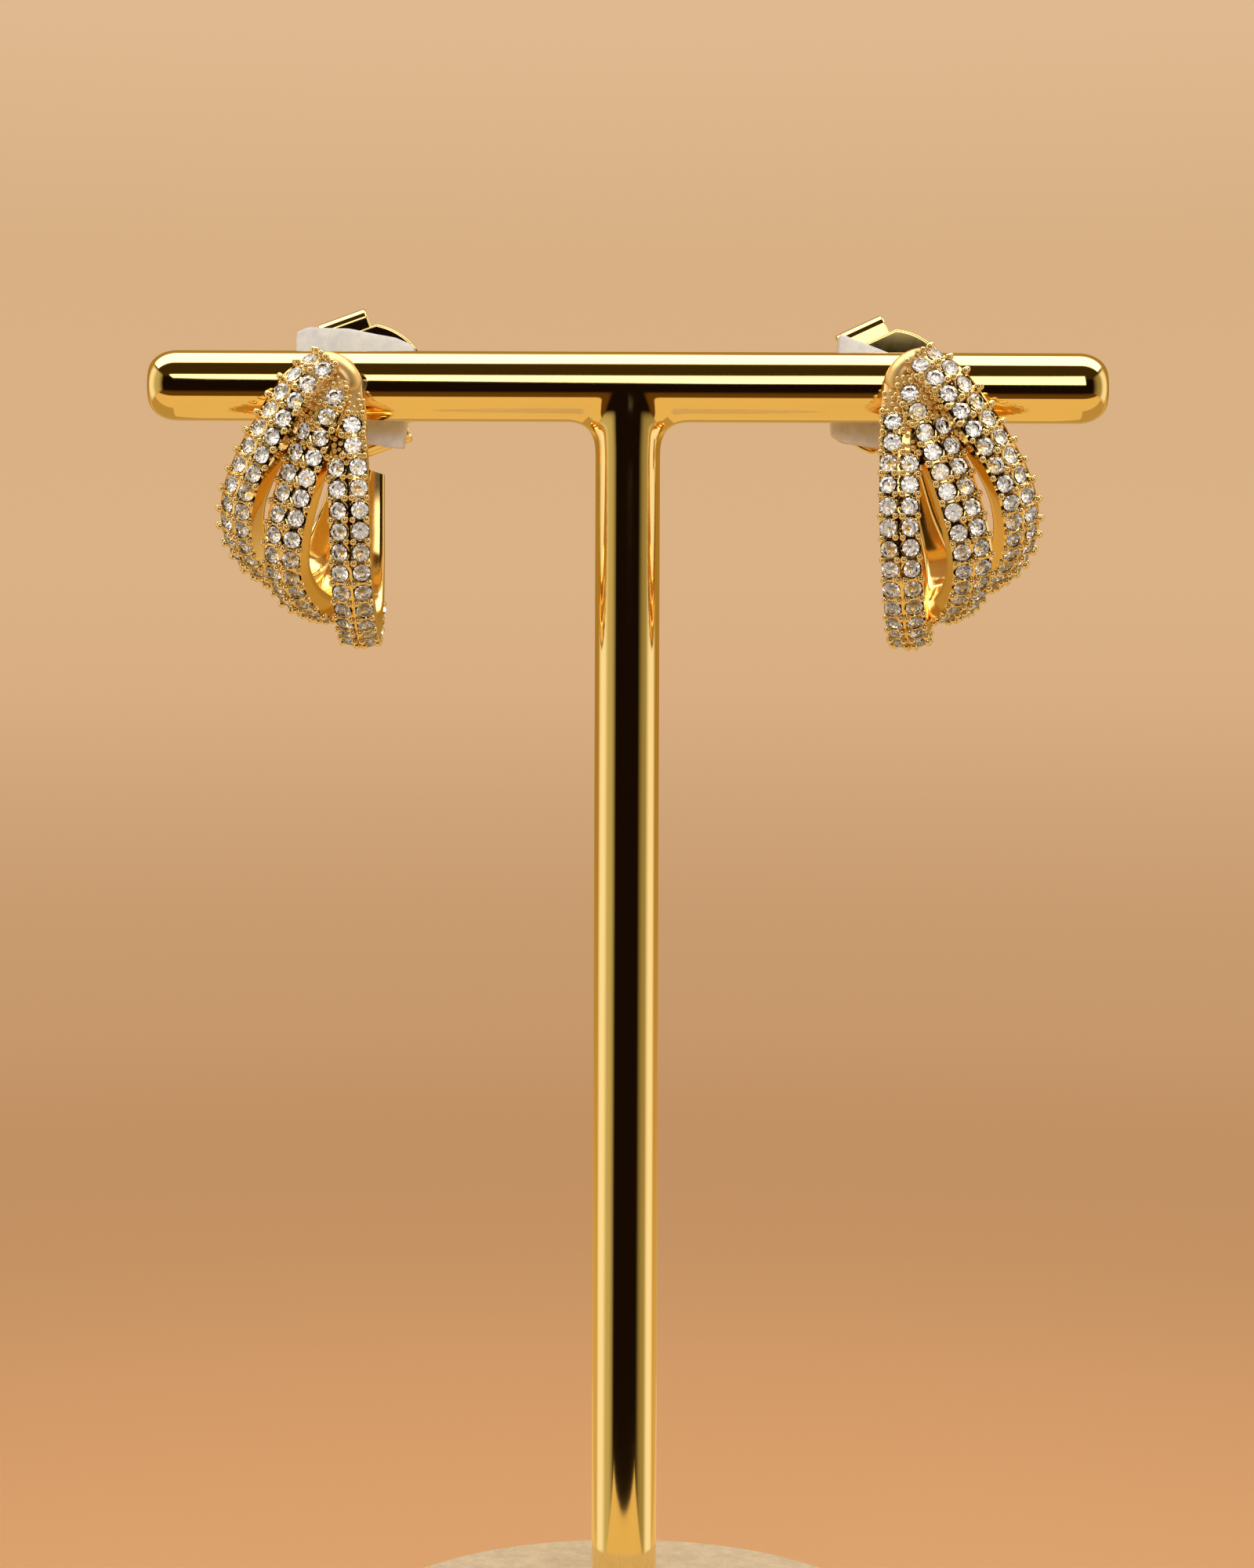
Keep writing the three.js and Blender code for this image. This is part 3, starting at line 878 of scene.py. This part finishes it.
def setting(hoop, line, sizes, dice):
    """Where the stones and beads of one band stand, as matrices."""

    def shake(most):
        return dice.uniform(-most, most)

    def lean(angle, axis):
        return Matrix.Rotation(angle, 4, axis)

    pitch = sizes.pitch / MM
    stones, beads = [], []
    for row in range(hoop["rows"]):
        s = hoop["first_row"] + row * pitch
        half, _ = band_size(line, s)
        for x in columns_of(hoop, sizes, row):
            place = band_frame(hoop, line, s + shake(0.03))
            x *= min(1, half / (BAND_WIDTH / 2) + 0.1)
            tilt = lean(math.atan(2 * hoop["crown"] * x) + math.radians(shake(5)), "Y")
            tilt @= lean(math.radians(shake(5)), "X")
            spun = lean(math.radians(dice.uniform(0, 45)), "Z")
            height = crown(hoop, x) - STONE_SINK + shake(0.03)
            stones.append(place @ Matrix.Translation((x, 0, height)) @ tilt @ spun)
    for row in range(hoop["rows"] + 1):
        s = hoop["first_row"] + (row - 0.5) * pitch
        half, _ = band_size(line, s)
        middle = sum(hoop["shift"]) / 2
        far = far_side(hoop, line, s, half)
        across = [-half + BEAD_EDGE, middle - BEAD_MIDDLE, middle + BEAD_MIDDLE, far - BEAD_EDGE]
        if hoop["edge_beads"]:
            across.append(far + BEAD_OVERHANG)
        for x in across:
            place = band_frame(hoop, line, s - BEAD_BACK + shake(0.04))
            x += shake(0.03)
            roll = lean(math.atan(2 * hoop["crown"] * x), "Y")
            size = Matrix.Scale(dice.uniform(0.9, 1.12), 4)
            height = crown(hoop, x) + BEAD_RISE + dice.uniform(-0.02, 0.03)
            beads.append(place @ Matrix.Translation((x, 0, height)) @ roll @ size)
    return stones, beads


def grains(metal, stones, beads, dice):
    """Where small beads are strewn over the front of the head, clear of stones, beads and the dome."""
    tree = BVHTree.FromBMesh(metal)
    shoulder = Line(SHOULDER, 40)
    taken = [(place.translation, STONE_ROOM) for place in stones]
    taken += [(place.translation, BEAD_ROOM) for place in beads]
    taken += [(shoulder.point(shoulder.length * i / 12), SHOULDER_ROOM) for i in range(13)]
    made = []
    for _ in range(GRAIN_TRIES):
        start = Vector((dice.uniform(*GRAIN_X), -12, dice.uniform(*GRAIN_Z)))
        place, normal, _, _ = tree.ray_cast(start, Vector((0, 1, 0)))
        if place is None or normal.y > GRAIN_FACING or place.z < OPEN_Z and place.x < OPEN_X:
            continue
        if all((place - other).length > room for other, room in taken):
            turn = normal.to_track_quat("Z", "Y").to_matrix().to_4x4()
            made.append(Matrix.Translation(place) @ turn @ Matrix.Scale(dice.uniform(0.6, 0.95), 4))
            taken.append((place, BEAD_ROOM))
    return made


def head_shape():
    """The polished dome that the bands grow from, with the rounded shoulder over its front."""
    bm = bmesh.new()
    bmesh.ops.create_uvsphere(bm, u_segments=64, v_segments=40, radius=1)
    bmesh.ops.scale(bm, verts=bm.verts, vec=HEAD_HALF)
    bmesh.ops.translate(bm, verts=bm.verts, vec=HEAD_MIDDLE)
    line = Line(SHOULDER, 200)
    angles = [2 * math.pi * i / 28 for i in range(28)]
    rings = []
    for i in range(SHOULDER_RINGS + 1):
        place, across, _, out = axes_at(line, line.length * i / SHOULDER_RINGS, HEAD_MIDDLE)
        end = math.sqrt(max(0.0, 1 - (2 * i / SHOULDER_RINGS - 1) ** 10)) * 0.97 + 0.03
        ring = [(SHOULDER_WIDTH * end * math.cos(t), SHOULDER_HEIGHT * end * math.sin(t)) for t in angles]
        rings.append([place + across * x + out * z for x, z in ring])
    shoulder = bmesh.new()
    skinned(shoulder, rings)
    bmesh.ops.recalc_face_normals(shoulder, faces=shoulder.faces)
    joined(bm, shoulder)
    for face in bm.faces:
        face.material_index = 2
    return bm


def cut_tip(bm):
    """The flat cut that ends a band behind the lobe."""
    slope = math.atan(TIP_SLOPE)
    behind = [f for f in bm.faces if all(v.co.y > TIP_BEHIND and v.co.z > TIP_ABOVE for v in f.verts)]
    parts = set(behind)
    for face in behind:
        parts.update(face.verts)
        parts.update(face.edges)
    cut_off(bm, list(parts), (0, 0, TIP_Z), (math.sin(slope), 0, math.cos(slope)))


def hoop_place(side):
    """How the hoops are mirrored, turned and moved round the post's axis."""
    turn = Matrix.Identity(4)
    for axis, angle in zip("XYZ", side["turn"]):
        turn = Matrix.Rotation(math.radians(angle), 4, axis) @ turn
    return Matrix.Translation(side["move"]) @ turn @ Matrix.Diagonal((side["sign"], 1, 1, 1))


def clear_of_bar(bm):
    """Hollows whatever reaches into the bar, which keeps its gap."""
    room = BAR_RADIUS + GAP
    for vert in bm.verts:
        reach = Vector((vert.co.y, vert.co.z))
        if 1e-6 < reach.length < room:
            reach *= room / reach.length
            vert.co.y, vert.co.z = reach


def on_post(side, sagging=True):
    """From the post's own frame to the stand."""
    tip = Matrix.Rotation(math.radians(side["sag"]), 4, "X") if sagging else Matrix.Identity(4)
    return Matrix.Translation((-side["sign"] * POST_X, 0, BAR_AXIS)) @ tip


class JEWEL_OT_earrings(bpy.types.Operator):
    """Builds both earrings: bands, head, post, beads and stones"""

    bl_idname = "jewel.earrings"
    bl_label = "Earrings"

    def execute(self, context):
        sizes = context.scene.pave_sizes
        self.stone = template(brilliant(sizes.stone / MM), "one_stone")
        self.bead = template(bead_shape(sizes.bead / MM), "one_bead")
        for name, side in SIDES.items():
            self.earring(name, side, sizes, random.Random(name))
        bpy.data.meshes.remove(self.stone)
        bpy.data.meshes.remove(self.bead)
        return {"FINISHED"}

    def earring(self, name, side, sizes, dice):
        """One earring: its metal with the beads, and its stones as a piece of their own."""
        metal, beads, stones = bmesh.new(), bmesh.new(), bmesh.new()
        places = [], []
        for hoop in HOOPS.values():
            line = Line(hoop["line"])
            band = bmesh.new()
            skinned(band, band_rings(hoop, line, sizes))
            bmesh.ops.recalc_face_normals(band, faces=band.faces)
            cut_tip(band)
            for face in band.faces:
                x, y, z = face.calc_center_median()
                face.material_index = 2 if z > SATIN_LOW and y < SATIN_BACK and x > SATIN_SIDE else 0
            joined(metal, band)
            for kind, made in zip(places, setting(hoop, line, sizes, dice)):
                kind += made
        joined(metal, head_shape())
        places[1].extend(grains(metal, *places, dice))
        for bm, shape, kind in zip((stones, beads), (self.stone, self.bead), places):
            for place in kind:
                stamp(bm, shape, place)
        for bm in (metal, beads, stones):
            bmesh.ops.transform(bm, matrix=hoop_place(side), verts=bm.verts)
            if side["sign"] < 0:
                bmesh.ops.reverse_faces(bm, faces=bm.faces)
        clear_of_bar(metal)
        for face in beads.faces:
            face.material_index = 1
        joined(metal, beads)
        for bm in (metal, stones):
            bmesh.ops.transform(bm, matrix=on_post(side, sagging=False), verts=bm.verts)
        middle = on_post(side) @ Matrix.Translation((0, POST_MIDDLE, 0))
        joined(metal, rod(POST_RADIUS, POST_LENGTH, 32, middle))
        gold_piece = finished(f"{name}_hoops", metal, hoop_golds(), 38)
        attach(gold_piece, STAND)
        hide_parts(f"earring_{name}")
        stone_piece = finished(f"{name}_stones", stones, [stone_material(), stone_back_material()])
        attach(stone_piece, STAND)


# ---------------------------------------------------------------- pads and clutches


class JEWEL_OT_pads(bpy.types.Operator):
    """Cuts the two white foam pads that sit on the posts"""

    bl_idname = "jewel.pads"
    bl_label = "Foam pads"

    def execute(self, context):
        for name, side in SIDES.items():
            piece = finished(f"{name}_foam_pad", self.slab(side), [foam_material()], 70)
            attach(piece, STAND)
            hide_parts(f"pad_{name}")
        return {"FINISHED"}

    def slab(self, side):
        """One pad: its outline thickened, holed and softened, and its faces a little uneven."""
        edge = bpy.context.scene.foam_looks.edge / MM
        bm = bmesh.new()
        face = bm.faces.new([bm.verts.new((x, PAD_FRONT, z)) for x, z in side["pad"]])
        grown = bmesh.ops.extrude_face_region(bm, geom=[face])["geom"]
        back = [g for g in grown if isinstance(g, bmesh.types.BMVert)]
        bmesh.ops.translate(bm, verts=back, vec=(0, PAD_THICKNESS, 0))
        bmesh.ops.recalc_face_normals(bm, faces=bm.faces)
        bm = drilled(bm, [rod(FOAM_HOLE, 8, 24, Matrix.Translation((0, 3.5, 0)))])
        sharp = [e for e in bm.edges if e.calc_face_angle(0) > PAD_SHARP and e.calc_length() > PAD_SHARP]
        bmesh.ops.bevel(
            bm, geom=sharp, offset=edge, offset_type="OFFSET", affect="EDGES", segments=3, profile=0.5,
            material=-1, clamp_overlap=True,
        )
        bmesh.ops.triangulate(bm, faces=bm.faces)
        for _ in range(3):
            long = [e for e in bm.edges if e.calc_length() > PAD_MESH]
            bmesh.ops.subdivide_edges(bm, edges=long, cuts=1)
            bmesh.ops.triangulate(bm, faces=bm.faces)
        for vert in bm.verts:
            wobble = noise.noise(vert.co * 0.55 + Vector((side["sign"] * 7, 0, 0)))
            fine = noise.noise(vert.co * 2.2)
            vert.co += vert.normal * (PAD_WOBBLE * wobble + PAD_FINE_WOBBLE * fine)
        bmesh.ops.transform(bm, matrix=on_post(side), verts=bm.verts)
        return bm


class JEWEL_OT_clutches(bpy.types.Operator):
    """Folds the two butterfly clutches from gold sheet"""

    bl_idname = "jewel.clutches"
    bl_label = "Clutches"

    def execute(self, context):
        for name, side in SIDES.items():
            bm = self.plate()
            joined(bm, self.wing(1, 1))
            joined(bm, self.wing(LOWER_WING, -1))
            turn = Matrix.Rotation(math.radians(-side["clutch_turn"]), 4, "Y")
            place = on_post(side) @ Matrix.Translation((0, CLUTCH_FRONT, 0)) @ turn
            bmesh.ops.transform(bm, matrix=place, verts=bm.verts)
            piece = finished(f"{name}_butterfly", bm, [plating_gold()], 38)
            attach(piece, f"{name}_clutch")
            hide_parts(f"clutch_{name}")
        return {"FINISHED"}

    def plate(self):
        """The round plate, cut straight where the wings fold and cupped a little to the back."""
        upper = math.degrees(math.acos(CLUTCH_CHORD / CLUTCH_RADIUS))
        lower = math.degrees(math.acos(LOWER_WING * CLUTCH_CHORD / CLUTCH_RADIUS))
        round_parts = [(-90 + lower, 90 - upper), (90 + upper, 270 - lower)]
        right, left = [arc((0, 0), (CLUTCH_RADIUS, CLUTCH_RADIUS), *part, 40) for part in round_parts]
        top = [(mix(right[-1][0], left[0][0], i / 8), right[-1][1]) for i in range(1, 8)]
        bottom = [(mix(left[-1][0], right[0][0], i / 8), right[0][1]) for i in range(1, 8)]
        flat = [(part, 0) for part in (0, 0.15, 0.3, 0.45, 0.6, 0.75, 0.88, 0.95)]
        rim = arc((0.965, CLUTCH_SHEET / 2), (0.035, CLUTCH_SHEET / 2), -90, 90, 8)
        back = [(part, CLUTCH_SHEET) for part, _ in reversed(flat)]
        rings = []
        for part, depth in flat + rim + back + flat[:1]:
            ring = []
            for x, z in right + top + left + bottom:
                share = mix(CLUTCH_HOLE / math.hypot(x, z), 1, part)
                cup = CLUTCH_CUP * (x * x + z * z) * share * share / CLUTCH_RADIUS**2
                ring.append((x * share, depth + cup, z * share))
            rings.append(ring)
        bm = bmesh.new()
        skinned(bm, rings, first=False, last=False)
        closed(bm)
        return bm

    def wing(self, reach, up):
        """One folded wing: a strip of sheet along its bent profile."""
        line = Line([(0, w, reach * v) for v, w in WING], 200)
        half, sheet, cut = WING_WIDTH / 2, CLUTCH_SHEET / 2, WING_EDGE
        upper = [(-half, sheet - cut), (-half + cut, sheet), (half - cut, sheet), (half, sheet - cut)]
        section = upper + [(x, -z) for x, z in reversed(upper)]
        rings = []
        for i in range(41):
            s = line.length * i / 40
            out = Vector((1, 0, 0)).cross(line.tangent(s))
            rings.append([line.point(s) + Vector((x, 0, 0)) + out * z for x, z in section])
        bm = bmesh.new()
        skinned(bm, rings)
        if up < 0:
            bmesh.ops.rotate(bm, verts=bm.verts, cent=(0, 0, 0), matrix=Matrix.Rotation(math.pi, 3, "Y"))
        bmesh.ops.recalc_face_normals(bm, faces=bm.faces)
        return bm


# ---------------------------------------------------------------- the stage


class Sums:
    """Math nodes by name, such as sums.add(a, b), and the masks and layers made with them."""

    def __init__(self, tree):
        self.tree = tree

    def __getattr__(self, operation):
        def result(*values):
            feeds = dict(enumerate(values))
            return node(self.tree, "ShaderNodeMath", feeds, operation=operation.upper()).outputs[0]

        return result

    def ramp(self, value, low, high):
        """A soft step from 0 at low to 1 at high."""
        feeds = {"Value": value, "From Min": low, "From Max": high}
        return node(self.tree, "ShaderNodeMapRange", feeds, interpolation_type="SMOOTHSTEP").outputs["Result"]

    def between(self, value, low, high, soft):
        """One between two values and 0 outside them, with soft ends."""
        fall = self.ramp(value, high - soft, high + soft)
        return self.multiply(self.ramp(value, low - soft, low + soft), self.subtract(1.0, fall))

    def times(self, first, *values):
        """The product of all the values."""
        for value in values:
            first = self.multiply(first, value)
        return first

    def layers(self, colour, *masked):
        """Colours laid over each other, each where its mask says."""
        for mask, above in masked:
            colour = blended(self.tree, mask, colour, above)
        return colour


# The backdrop's painted glow and shade by distance out from the middle plus height, in metres: darker through
# the middle of the sweep, where its shade is painted in.
BACKDROP_GLOW_AND_SHADE = [
    (0.03, (0.69, 0.345, 0.146)), (0.119, (0.625, 0.316, 0.136)), (0.179, (0.552, 0.287, 0.124)),
    (0.233, (0.533, 0.279, 0.126)), (0.282, (0.565, 0.314, 0.147)), (0.332, (0.578, 0.332, 0.16)),
    (0.379, (0.624, 0.371, 0.188)), (0.426, (0.693, 0.423, 0.223)), (0.472, (0.701, 0.445, 0.235)),
    (0.6, (0.686, 0.434, 0.231)), (0.681, (0.745, 0.485, 0.279)),
]
# The floor is lit by the lamps near the foot and glows by itself further out, with this change of colour.
LIT_NEAR, LIT_FAR, LIT_TINT = 0.06, 0.16, (1.09, 1.43, 1.92)
WALL_HEIGHTS = (900, 1600)
# Colours of the card that only the gold sees, and of the wall and floor in the tent.
CARD_COLOUR = (0.82, 0.58, 0.26)
WALL_GLOW = (0.5, 0.33, 0.12)
BLACK = (0, 0, 0)
# The fill lamp's place, aim, size, power and colour, and the camera's place, shift and roll.
FILL_PLACE, FILL_AIM, FILL_SIZE = Vector((0.06, -0.42, 0.17)), Vector((0, 0, 0.07)), (0.4, 0.25)
FILL_POWER, FILL_COLOUR = 1.35, (0.64, 0.82, 1)
CAMERA_PLACE, CAMERA_SHIFT, CAMERA_ROLL = (0, -0.2, 0.0682), -0.075, -0.21


def unseen(obj, *rays):
    """Keeps a stage piece or lamp out of some kinds of rays."""
    for kind in rays:
        setattr(obj, f"visible_{kind}", False)


class JEWEL_OT_stage(bpy.types.Operator):
    """Sets the floor with its round sweep, the light tent and the camera"""

    bl_idname = "jewel.stage"
    bl_label = "Stage"

    def execute(self, context):
        looks = context.scene.stage_looks
        self.sweep(looks)
        self.card()
        self.tent(context.scene)
        self.fill_light(context.scene)
        self.camera(context.scene, looks)
        return {"FINISHED"}

    def sweep(self, looks):
        """A round floor that curves up into a wall on every side."""
        flat, bend = looks.floor / MM, looks.bend / MM
        profile = [(0, 0), (flat / 3, 0), (flat * 2 / 3, 0), *arc((flat, bend), (bend, bend), -90, 0, 24)]
        bm = turned(profile + [(flat + bend, height) for height in WALL_HEIGHTS], 96)
        bmesh.ops.reverse_faces(bm, faces=bm.faces)
        piece = finished("backdrop", bm, [self.backdrop_material()], 60)
        unseen(piece, "glossy", "transmission")

    def card(self):
        """A card on the floor round the foot, which lights the gold from below."""
        bm = bmesh.new()
        bmesh.ops.create_grid(bm, x_segments=2, y_segments=2, size=1)
        bmesh.ops.scale(bm, verts=bm.verts, vec=(45, 80, 1))
        bmesh.ops.translate(bm, verts=bm.verts, vec=(0, 20, 0.05))
        material, tree, shader, coords = blank_material(
            "gold card", Base_Color=(0, 0, 0, 1), Specular_IOR_Level=0, Emission_Strength=1
        )
        grain = use_group(tree, grain_group(), coords, Fine=300, Coarse=60)
        tones = blended(tree, grain["Coarse"], shade(CARD_COLOUR, 0.97), CARD_COLOUR)
        feed(tree, shader["Emission Color"], tones)
        piece = finished("card", bm, [material], 35)
        unseen(piece, "camera", "diffuse", "transmission", "shadow")

    def backdrop_material(self):
        """Paper that takes the lamps' light and shadows near the foot, and further out glows with painted
        light and shade.
        """
        material, tree, shader, coords = blank_material(
            "backdrop paper", Emission_Strength=1, Roughness=1, Specular_IOR_Level=0
        )
        sums = Sums(tree)
        x, y, z = node(tree, "ShaderNodeSeparateXYZ", {0: coords}).outputs
        across = sums.sqrt(sums.add(sums.power(x, 2.0), sums.power(y, 2.0)))
        far = BACKDROP_GLOW_AND_SHADE[-1][0]
        reach = sums.divide(sums.add(across, z), far)
        # painted light and shade: the glow colour runs darker through the middle of the sweep and lighter on
        # the floor and wall
        tone = ramped(tree, reach, [(place / far, colour) for place, colour in BACKDROP_GLOW_AND_SHADE])
        lit = sums.ramp(across, LIT_FAR, LIT_NEAR)
        paler = blended(tree, 1, tone, LIT_TINT, blend_type="MULTIPLY")
        feed(tree, shader["Base Color"], blended(tree, lit, BLACK, paler))
        feed(tree, shader["Emission Color"], blended(tree, lit, tone, BLACK))
        return material

    def tent(self, scene):
        """The light tent: softboxes above, in front and at the sides, dark between them."""
        scene.world = bpy.data.worlds.new("light tent")
        scene.world.use_nodes = True
        tree = scene.world.node_tree
        tree.nodes.clear()
        ways = node(tree, "ShaderNodeTexCoord").outputs["Generated"]
        reflected, gathered = self.tent_colours(Sums(tree), ways)
        passed = node(tree, "ShaderNodeLightPath").outputs["Is Transmission Ray"]
        back = node(tree, "ShaderNodeBackground", {"Color": blended(tree, passed, reflected, gathered)})
        node(tree, "ShaderNodeOutputWorld", {"Surface": back.outputs[0]})
        scene.view_settings.view_transform = "Standard"
        scene.view_settings.look = "None"

    def tent_colours(self, sums, ways):
        """The tent as the metal mirrors it, and the whiter light that the stones gather."""
        x, y, z = node(sums.tree, "ShaderNodeSeparateXYZ", {0: ways}).outputs
        toward = sums.multiply(y, -1.0)
        front, up = sums.maximum(toward, 0.001), sums.maximum(z, 0.001)
        rise, shift = sums.divide(z, front), sums.divide(x, front)
        facing = sums.ramp(y, 0.02, -0.02)
        wide = sums.absolute(x)
        beside = sums.maximum(wide, 0.001)
        # the wall behind, seen in the edges of the metal, and the floor under the stand
        wall = sums.ramp(y, 0.12, 0.3)
        edge = sums.ramp(sums.add(y, sums.multiply(wide, 0.3)), 0.62, 0.8)
        under = sums.times(sums.ramp(y, -0.13, -0.05), sums.ramp(z, -0.22, -0.4))
        # the side panels
        level = sums.between(sums.divide(z, beside), -0.45, 0.75, 0.1)
        cosine = sums.divide(toward, beside)
        dim = sums.times(sums.between(cosine, -0.4, 0.85, 0.42), level)
        panel = sums.times(sums.between(cosine, -0.42, 0.2, 0.2), level, sums.ramp(wide, 0.2, 0.4))
        # the front strip, thicker towards the right
        lower = sums.maximum(sums.subtract(0.153, sums.multiply(shift, 1.12)), 0.125)
        upper = sums.add(0.62, sums.multiply(sums.maximum(shift, 0.0), 0.4))
        strip = sums.times(
            sums.ramp(sums.subtract(rise, lower), -0.035, 0.035),
            sums.ramp(sums.subtract(upper, rise), -0.06, 0.06),
            sums.between(shift, -0.4, 0.3, 0.02), facing,
        )
        # the overhead softbox, a little behind
        above = sums.times(
            sums.between(sums.divide(y, up), -0.23, 0.72, 0.07),
            sums.between(sums.divide(x, up), -1.1, 1.1, 0.03), sums.ramp(z, 0.02, 0.05),
        )
        reflected = sums.layers(
            (0.008, 0.004, 0.002),
            (sums.ramp(z, 0.35, 0.5), (0.045, 0.026, 0.005)),
            (wall, WALL_GLOW),
            (sums.times(wall, sums.ramp(z, 0.25, -0.2)), (0.86, 0.58, 0.25)),
            (edge, (0.4, 0.23, 0.045)),
            (sums.times(edge, sums.ramp(z, 0, -0.3)), (0.75, 0.48, 0.15)),
            (sums.times(sums.ramp(rise, -0.33, -0.55), facing), (0.12, 0.05, 0.006)),
            (sums.times(sums.ramp(rise, -0.78, -0.86), facing), CARD_COLOUR),
            (under, WALL_GLOW),
            (dim, (0.36, 0.29, 0.13)),
            (sums.times(dim, sums.ramp(x, 0, -0.1)), (0.55, 0.48, 0.26)),
            (panel, (1.02, 0.95, 0.86)),
            (strip, (2.2, 2.1, 1.9)),
            (above, (3.0, 2.85, 2.6)),
        )
        # the stones gather white light from a wider part of the tent, but little from the lens
        feeds = {"Vector": ways, "W": 2, "Scale": 9, "Detail": 2, "Roughness": 0.6}
        lamps = node(sums.tree, "ShaderNodeTexNoise", feeds, noise_dimensions="4D").outputs["Fac"]
        high = sums.ramp(sums.add(z, sums.multiply(lamps, 4.0)), 1.8, 3.0)
        lens_zone = sums.times(sums.ramp(y, -0.82, -0.96), sums.between(z, -0.4, 0.25, 0.1))
        gathered = sums.layers((0.36, 0.32, 0.26), (high, (3.0, 2.87, 2.65)), (lens_zone, (0.8, 0.77, 0.7)))
        return reflected, gathered

    def fill_light(self, scene):
        """A broad soft panel in front, which lights matt things and leaves no image in the gold."""
        data = bpy.data.lights.new("front fill", "AREA")
        data.shape = "RECTANGLE"
        data.size, data.size_y = FILL_SIZE
        data.energy = FILL_POWER
        data.color = FILL_COLOUR
        lamp = bpy.data.objects.new("front fill", data)
        lamp.location = FILL_PLACE
        lamp.rotation_euler = (FILL_AIM - FILL_PLACE).to_track_quat("-Z", "Y").to_euler()
        unseen(lamp, "glossy", "transmission", "camera")
        scene.collection.objects.link(lamp)

    def camera(self, scene, looks):
        """The camera in front of the bar, level with the earrings' lower half."""
        data = bpy.data.cameras.new("camera")
        data.lens = looks.lens
        data.sensor_width = 36
        data.shift_y = CAMERA_SHIFT
        data.clip_start, data.clip_end = 0.01, 10
        data.dof.use_dof = False
        camera = bpy.data.objects.new("camera", data)
        scene.collection.objects.link(camera)
        roll = Matrix.Rotation(math.radians(CAMERA_ROLL), 4, "Y")
        camera.matrix_world = Matrix.Translation(CAMERA_PLACE) @ roll @ Matrix.Rotation(math.pi / 2, 4, "X")
        scene.camera = camera


# ---------------------------------------------------------------- panel and start


class JEWEL_PT_panel(bpy.types.Panel):
    bl_idname = "JEWEL_PT_panel"
    bl_label = "Triple hoops on a T-bar"
    bl_space_type = "VIEW_3D"
    bl_region_type = "UI"
    bl_category = "Jewellery"

    def draw(self, context):
        for operator in OPERATORS:
            self.layout.operator(operator.bl_idname)
        for name in GROUPS:
            group = getattr(context.scene, name)
            for key in group.bl_rna.properties.keys():
                if key not in {"rna_type", "name"}:
                    self.layout.prop(group, key)


GROUPS = {
    "stand_sizes": StandSizes,
    "gold_looks": GoldLooks,
    "pave_sizes": PaveSizes,
    "foam_looks": FoamLooks,
    "stage_looks": StageLooks,
}
OPERATORS = [
    JEWEL_OT_t_bar, JEWEL_OT_foot, JEWEL_OT_earrings, JEWEL_OT_pads, JEWEL_OT_clutches, JEWEL_OT_stage,
]
CLASSES = [*GROUPS.values(), *OPERATORS, JEWEL_PT_panel]


def register():
    for cls in CLASSES:
        bpy.utils.register_class(cls)
    for name, group in GROUPS.items():
        setattr(bpy.types.Scene, name, bpy.props.PointerProperty(type=group))


def unregister():
    for name in GROUPS:
        delattr(bpy.types.Scene, name)
    for cls in reversed(CLASSES):
        bpy.utils.unregister_class(cls)


def main():
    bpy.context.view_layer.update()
    register()
    bpy.ops.jewel.t_bar()
    bpy.ops.jewel.foot()
    bpy.ops.jewel.earrings()
    bpy.ops.jewel.pads()
    bpy.ops.jewel.clutches()
    bpy.ops.jewel.stage()
    bpy.context.view_layer.update()


if __name__ == "__main__":
    main()
